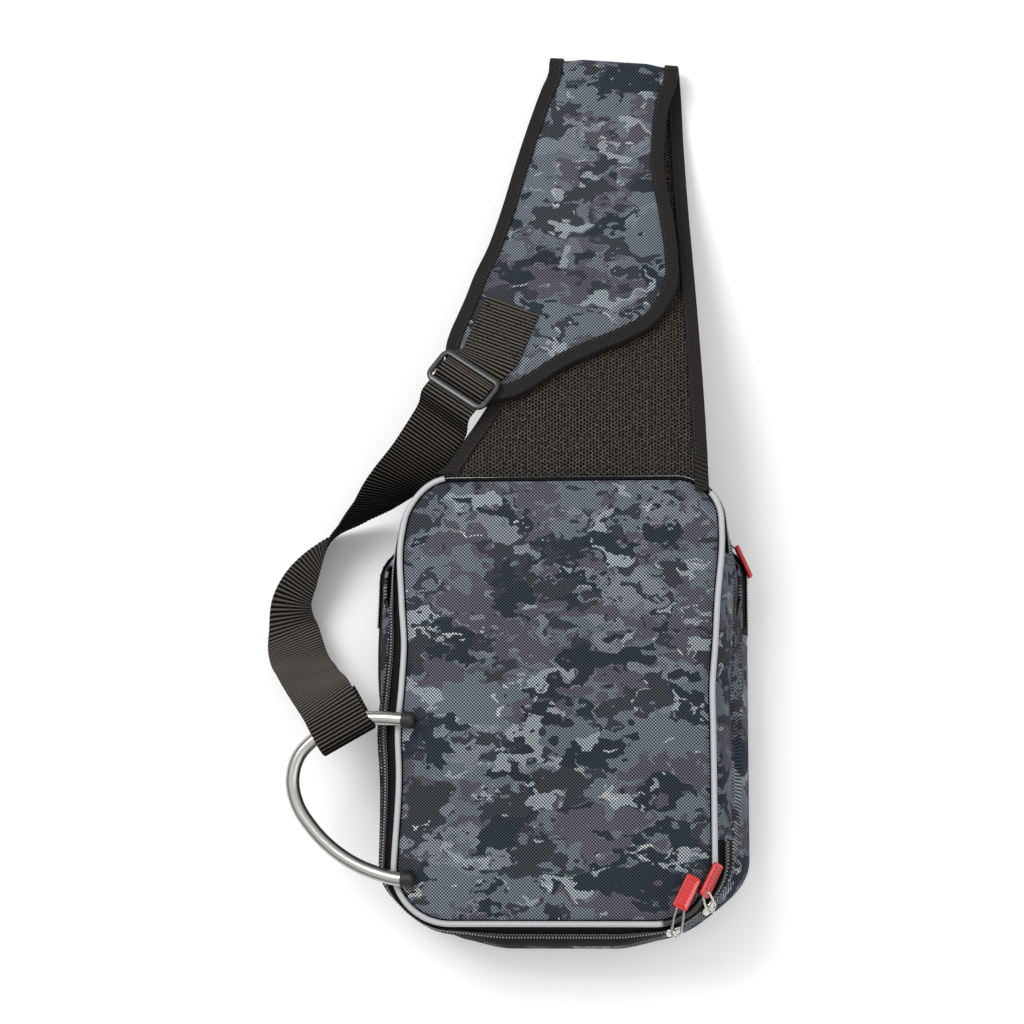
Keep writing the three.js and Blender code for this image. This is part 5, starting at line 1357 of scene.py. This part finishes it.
# %% Adjuster
def tri_glide():
    """A rounded section between the outer and the inner outline, and a low middle bar on two rails."""
    width = WEBBING_W + 2 * (GLIDE_RAIL + 4 * GAP)
    outer = rounded(GLIDE_L / 2, width / 2, 7.0)
    inner = rounded(GLIDE_L / 2 - GLIDE_BAR, width / 2 - GLIDE_RAIL, 2.2)
    inward = unit(inner - outer)
    t = GLIDE_T
    section = [(outer, 1.0, 0), (outer, 0.3, 0.25), (outer, 0, 0.9), (outer, 0, t - 1.5),
               (outer, 0.35, t - 0.55), (outer, 1.2, t - 0.05), (inner, -1.0, t), (inner, -0.35, t - 0.25),
               (inner, 0, t - 0.9), (inner, 0, 0.8), (inner, -0.3, 0.2), (inner, -0.9, 0)]
    grid = np.stack([level(line + inset * inward, BAR_LIFT + z) for line, inset, z in section], 1)
    pose = lambda points: posed(points, GLIDE_AT, GLIDE_AHEAD, GLIDE_UP)
    place("adjuster_frame", grid_mesh("adjuster_frame", pose(grid), wrap_rows=True, wrap_columns=True),
          gloss_plastic, "adjuster", "tri_glide")
    low = BAR_LIFT - GLIDE_STEP
    bar = block((GLIDE_MID / 2, GLIDE_MID / 4, (width - GLIDE_RAIL) / 2), 0.9)[..., [0, 2, 1]]
    bar = pose(bar + [0, 0, low + GLIDE_MID / 4])
    place("adjuster_bar", grid_mesh("adjuster_bar", bar, wrap_columns=True, caps=True), gloss_plastic,
          "adjuster")
    tall = (GLIDE_STEP + GLIDE_T / 2) / 2
    for side in (-1, 1):
        rail = block((GLIDE_L / 4, GLIDE_RAIL / 2, tall), 0.8)
        rail = rail + [0, side * (width - GLIDE_RAIL) / 2, low + tall]
        name = f"adjuster_rail_{'left' if side < 0 else 'right'}"
        place(name, grid_mesh(name, pose(rail), wrap_columns=True, caps=True), gloss_plastic, "adjuster")


# Acetal with a polished mould face: black, with a sharp highlight along each rounded edge.
gloss_plastic = plain("black_acetal", "#1a1a1b", 0.34, grain=300.0, Specular_IOR_Level=0.9)
tri_glide()

# %% [markdown]
# Rubber boots close the ring's two ends. They are soft lathed cups, pushed a little out of round.

# %% Boots
def boot(name, at, along):
    """Rings about the rod's axis: the profile's radius at each height, times 1 plus a small ripple."""
    bore, r = ROD_R + 0.1, BOOT_R
    outside = [[0.1, 0], [0.30 * r, 0.05], [0.55 * r, 0.25], [0.78 * r, 0.9], [0.93 * r, 2.0], [r, 3.4],
               [r, 5.2], [0.96 * r, 7.0], [0.99 * r, BOOT_L - 0.8], [0.97 * r, BOOT_L - 0.1]]
    inside = [[bore + 0.2, BOOT_L], [bore, BOOT_L - 0.2], [bore, BOOT_L / 2]]
    profile = np.array(outside + inside)
    angle = np.linspace(0, 2 * np.pi, 36, endpoint=False)
    rings = np.stack([profile[:, 1:] + 0 * angle, profile[:, :1] * np.cos(angle),
                      profile[:, :1] * np.sin(angle)], -1)
    lump = 1 - 0.06 * (1 + ripple(rings, 9, 31))
    rings[:len(outside), :, 1:] *= lump[:len(outside), :, None]
    grid = posed(rings, at - unit(along) * (BOOT_L / 2 + GAP), along, (0, 0, 1))
    mesh = grid_mesh(name + "_rubber", grid, wrap_columns=True, caps=True)
    return place(name + "_rubber", mesh, boot_rubber, "boot_rubber", name)


# Moulded rubber is black and dull, with a slightly pitted skin.
boot_rubber = plain("black_rubber", "#0e0e0e", 0.55, height_mm=0.12, grain=500.0)
boot("boot_upper", RING_LINE[0], RING_LINE[1] - RING_LINE[0])
boot("boot_lower", RING_LINE[-1], RING_LINE[-2] - RING_LINE[-1])

# %% [markdown]
# Each zip pull is a cast slider, a bent wire and a red rubber tab. The tabs carry plain moulded ribs
# inside a raised rim. All three parts are set out from the same places on the zip as the solids.

# %% Zip pulls
PULL_L, PULL_W, PULL_T, SLIDER_L, SLIDER_W, SLIDER_T = 24.0, 10.4, 2.8, 11.0, 8.0, 3.2
ARCH_H, WIRE_R, WIRE_W, TAB_RIBS = 5.0, 0.8, 6.4, 7
HOOK_LIFT = SLIDER_T + ARCH_H / 2
# Each zip: its tier, the outline's run and radius of the corner that its pulls sit at, the angle where that
# corner starts, its heights, and the height on which a tab rests.
MAIN_ZIP = {"band": MAIN, "turn": 6, "radius": 3, "zero": 90.0, "span": (TAPE_LOW, TAPE_TOP),
            "down": CHAIN_DOWN, "rest": PIPING_Z + PIPING_R}
POCKET_ZIP = {"band": POCKET, "turn": 0, "radius": 0, "zero": 0.0, "span": (CLOTH + GAP, POCKET_H),
              "down": POCKET_ZIP_DOWN, "rest": POCKET_H * (1 - POCKET_ZIP_DOWN)}
# Each pull: angles of its slider and tab round the corner, the slider's slant, the tab's place out from the
# outline and up from its rest, and how the tab is turned, pitched and tilted, in degrees.
PULLS = [
    {"name": "1", "zip": MAIN_ZIP, "angle": -74, "face": 35, "tab": -42.4, "out": -10.9, "lift": 5.2,
     "heading": 63.6, "pitch": -9, "tilt": 5},
    {"name": "2", "zip": MAIN_ZIP, "angle": -40, "face": 35, "tab": -18, "out": -0.6, "lift": 5.4,
     "heading": 64, "pitch": -4, "tilt": 60},
    {"name": "3", "zip": POCKET_ZIP, "angle": 84, "face": 0, "tab": 27, "out": 20.2, "lift": 1,
     "heading": -65.7, "pitch": 0, "tilt": 86},
]


def corner_place(zip_row, angle):
    """Arc length of a place on the zip's corner: the corner's start plus radius times angle."""
    form = zip_row["band"][0]
    start = runs(form)[:zip_row["turn"]].sum()
    return start + form["radii"][zip_row["radius"]] * np.radians(np.array([float(angle)]) + zip_row["zero"])


def slider(row):
    """Slider body on the chain and the arch over it; gives the hook's place and the slider's along."""
    name, zip_row = row["name"], row["zip"]
    s = corner_place(zip_row, row["angle"])
    at = band_points(*zip_row["band"], s, zip_row["down"], *zip_row["span"], CHAIN_T)[0]
    normal = np.append(outline(zip_row["band"][0], s)[1][0], 0.0)
    along = np.array([-normal[1], normal[0], 0.0])
    face = np.radians(row["face"])
    facing = normal * np.cos(face) + np.array([0, 0, np.sin(face)])
    body = block((SLIDER_L / 2, SLIDER_W / 2, SLIDER_T / 2), 1.2) + [0, 0, SLIDER_T / 2]
    body[..., 1] *= (1 - 0.18 * (body[..., 0] / (SLIDER_L / 2)) ** 2 * (body[..., 0] < 0))
    mesh = grid_mesh(f"slider_body_{name}", posed(body, at, along, facing), wrap_columns=True, caps=True)
    place(f"slider_body_{name}", mesh, zinc, "zinc", f"slider_{name}")
    turn = np.linspace(0, np.pi, 25)
    rise = SLIDER_T - 0.6 + np.sin(turn) ** 0.7 * (ARCH_H - 0.6)
    arch = np.stack([-np.cos(turn) * SLIDER_L * 0.33, 0 * turn, rise], 1)
    up = np.cross(along, facing)
    if row["face"]:
        arch, up = arch[:, [1, 0, 2]], along
    mesh = tube_mesh(f"slider_arch_{name}", posed(arch, at, along, facing), 0.95, 12, up=up)
    place(f"slider_arch_{name}", mesh, zinc, "zinc")
    return at + facing * HOOK_LIFT, along


def tab(row):
    """Rubber tab with a raised rim, and ribs inside it; gives the place where the wire enters it."""
    name, zip_row = row["name"], row["zip"]
    turn, pitch, tilt = np.radians([row["heading"], row["pitch"], row["tilt"]])
    ahead = np.array([np.cos(pitch) * np.cos(turn), np.cos(pitch) * np.sin(turn), np.sin(pitch)])
    side = unit(np.cross([0, 0, 1], ahead))
    top = unit(np.cross(ahead, side)) * np.cos(tilt) - side * np.sin(tilt)
    point, out_way = outline(zip_row["band"][0], corner_place(zip_row, row["tab"]))
    middle = np.append(point[0] + row["out"] * out_way[0], zip_row["rest"] + row["lift"])
    t = PULL_T / 2
    rings = [(4.6, -t), (0.7, -t), (0.2, -t + 0.2), (0, -t + 0.7), (0, t - 0.7), (0.2, t - 0.2), (0.7, t),
             (1.25, t), (1.6, t - 0.45), (4.6, t - 0.45)]
    grid = np.stack([level(rounded(PULL_L / 2 - d, PULL_W / 2 - d, max(2.0 - d, 0.3)), z) for d, z in rings])
    mesh = grid_mesh(f"tab_{name}", posed(grid, middle, ahead, top), wrap_columns=True, caps=True)
    place(f"tab_{name}", mesh, red_rubber, "pull_red", f"pull_tab_{name}")
    ribs = np.linspace(-6.5, 8.5, TAB_RIBS)
    spots = posed(np.column_stack([ribs, 0 * ribs, np.full(TAB_RIBS, t - 0.4)]), middle, ahead, top)
    ways = [np.tile(way, (TAB_RIBS, 1)) for way in (np.cross(top, ahead), top)]
    bars = small_bars(f"tab_ribs_{name}", (2.9, 0.55, 0.4), spots, *ways)
    place(f"tab_ribs_{name}", bars, red_rubber, "pull_red")
    return middle - ahead * (PULL_L / 2 - 2.5)


def wire(row, hook, near, along):
    """A closed loop of wire from the slider's arch to the tab, narrower at the tab."""
    name = row["name"]
    reach = near - hook
    half = np.linalg.norm(reach) / 2
    loop = rounded(half, WIRE_W / 2, WIRE_W / 2 - 0.05, arc=12)
    loop[:, 1] *= 1 - 0.22 * smoothstep(loop[:, 0] / half)
    wide = np.array([0.0, 0.0, 1.0]) if row["face"] == 0 else along
    frame_z = np.cross(wide, reach)
    line = posed(level(loop, 0.0), (hook + near) / 2, reach, frame_z)
    grid = tube(line, WIRE_R, 10, up=unit(frame_z), closed=True)
    mesh = grid_mesh(f"wire_{name}", grid, wrap_rows=True, wrap_columns=True)
    place(f"wire_{name}", mesh, zinc, "zinc", f"pull_wire_{name}")


# Cast zinc and its wire are nickel plated: bright, with soft pale reflections.
zinc = plain("nickel_plated_zinc", "#c9c7c2", 0.26, Metallic=1.0)
# Moulded rubber tabs are a saturated red with a light satin skin.
red_rubber = plain("red_moulded_rubber", "#c01c1f", 0.36, grain=250.0, Specular_IOR_Level=0.6)
for row in PULLS:
    hook, along = slider(row)
    wire(row, hook, tab(row), along)

# %% [markdown]
# Thread shows where parts are sewn: along the binding on both faces, in a crossed box on the webbing's
# flat end, and in double rows at both ends of the cloth hinge.

# %% Stitches
BINDING_PITCH, PATCH_PITCH, HINGE_PITCH = 3.4, 3.0, 2.8
HINGE_ROWS = (4.0, 7.5)      # distance of the two rows of thread from each end of the hinge


def sewn_line(points, ups, pitch):
    """Places, headings and up directions at an even pitch along a dense line."""
    run = lengths(points)
    at = np.arange(pitch / 2, run[-1], pitch)
    pick = lambda values: np.stack([np.interp(at, run, values[:, k]) for k in range(3)], 1)
    return pick(points), pick(np.gradient(points, axis=0)), pick(ups)


def binding_rows():
    """The line a little inside the binding's hem, on the pad's face and on the printed face."""
    line = even(np.concatenate([LEFT_EDGE, RIGHT_EDGE[::-1]]), 1.0)[12:-12]
    tangent = unit(np.gradient(line, axis=0))
    deep = line + (BINDING_W - 1.6) * np.stack([tangent[:, 1], -tangent[:, 0]], 1)
    rows = []
    hem = BINDING_SEAT + BINDING_T
    for height, way in ((PAD_EDGE + hem, 1), (-(OUTER_EDGE + hem), -1)):
        face = strap_point(deep[:, 0], deep[:, 1], height + 0.1 * way)
        above = strap_point(deep[:, 0], deep[:, 1], height + 1.1 * way)
        rows.append(sewn_line(face, above - face, BINDING_PITCH))
    return rows


def patch_rows():
    """A box with a cross inside it, on the flat end of the webbing."""
    ahead, across = heading(PATCH_TURN)
    l, w = PATCH_L / 2 - 4.5, WEBBING_W / 2 - 3.5
    corners = np.array([[-l, -w], [l, -w], [l, w], [-l, w], [-l, -w], [l, w], [l, -w], [-l, w]])
    rows = []
    for start, end in zip(corners[:-1], corners[1:]):
        k = np.linspace(0, 1, 60)[:, None]
        local = start + k * (end - start)
        plan = PATCH_MID + local[:, :1] * ahead + local[:, 1:] * across
        lift = WEBBING_LIFT + WEBBING_T / 2 + 0.05
        face = over_flap(plan[:, 0], plan[:, 1], lift)
        above = over_flap(plan[:, 0], plan[:, 1], lift + 1)
        rows.append(sewn_line(face, above - face, PATCH_PITCH))
    return rows


def hinge_rows():
    """Two rows down the band a little inside each end of the hinge."""
    rows = []
    for s0 in [ZIP_END + row for row in HINGE_ROWS] + [ZIP_START + FULL - row for row in HINGE_ROWS]:
        down = np.linspace(0.05, 0.95, 50)
        face = band_points(*MAIN, np.full(50, s0), down, TAPE_LOW, TAPE_TOP, -0.05)
        above = band_points(*MAIN, np.full(50, s0), down, TAPE_LOW, TAPE_TOP, 1)
        rows.append(sewn_line(face, above - face, HINGE_PITCH))
    return rows


for name, rows, half in (("binding_stitches", binding_rows(), (1.25, 0.36, 0.28)),
                         ("patch_stitches", patch_rows(), (1.1, 0.42, 0.34)),
                         ("hinge_stitches", hinge_rows(), (1.05, 0.36, 0.3))):
    at, ahead, up = [np.concatenate(part) for part in zip(*rows)]
    place(name, small_bars(name, half, at, ahead, up), thread, "black_cloth")
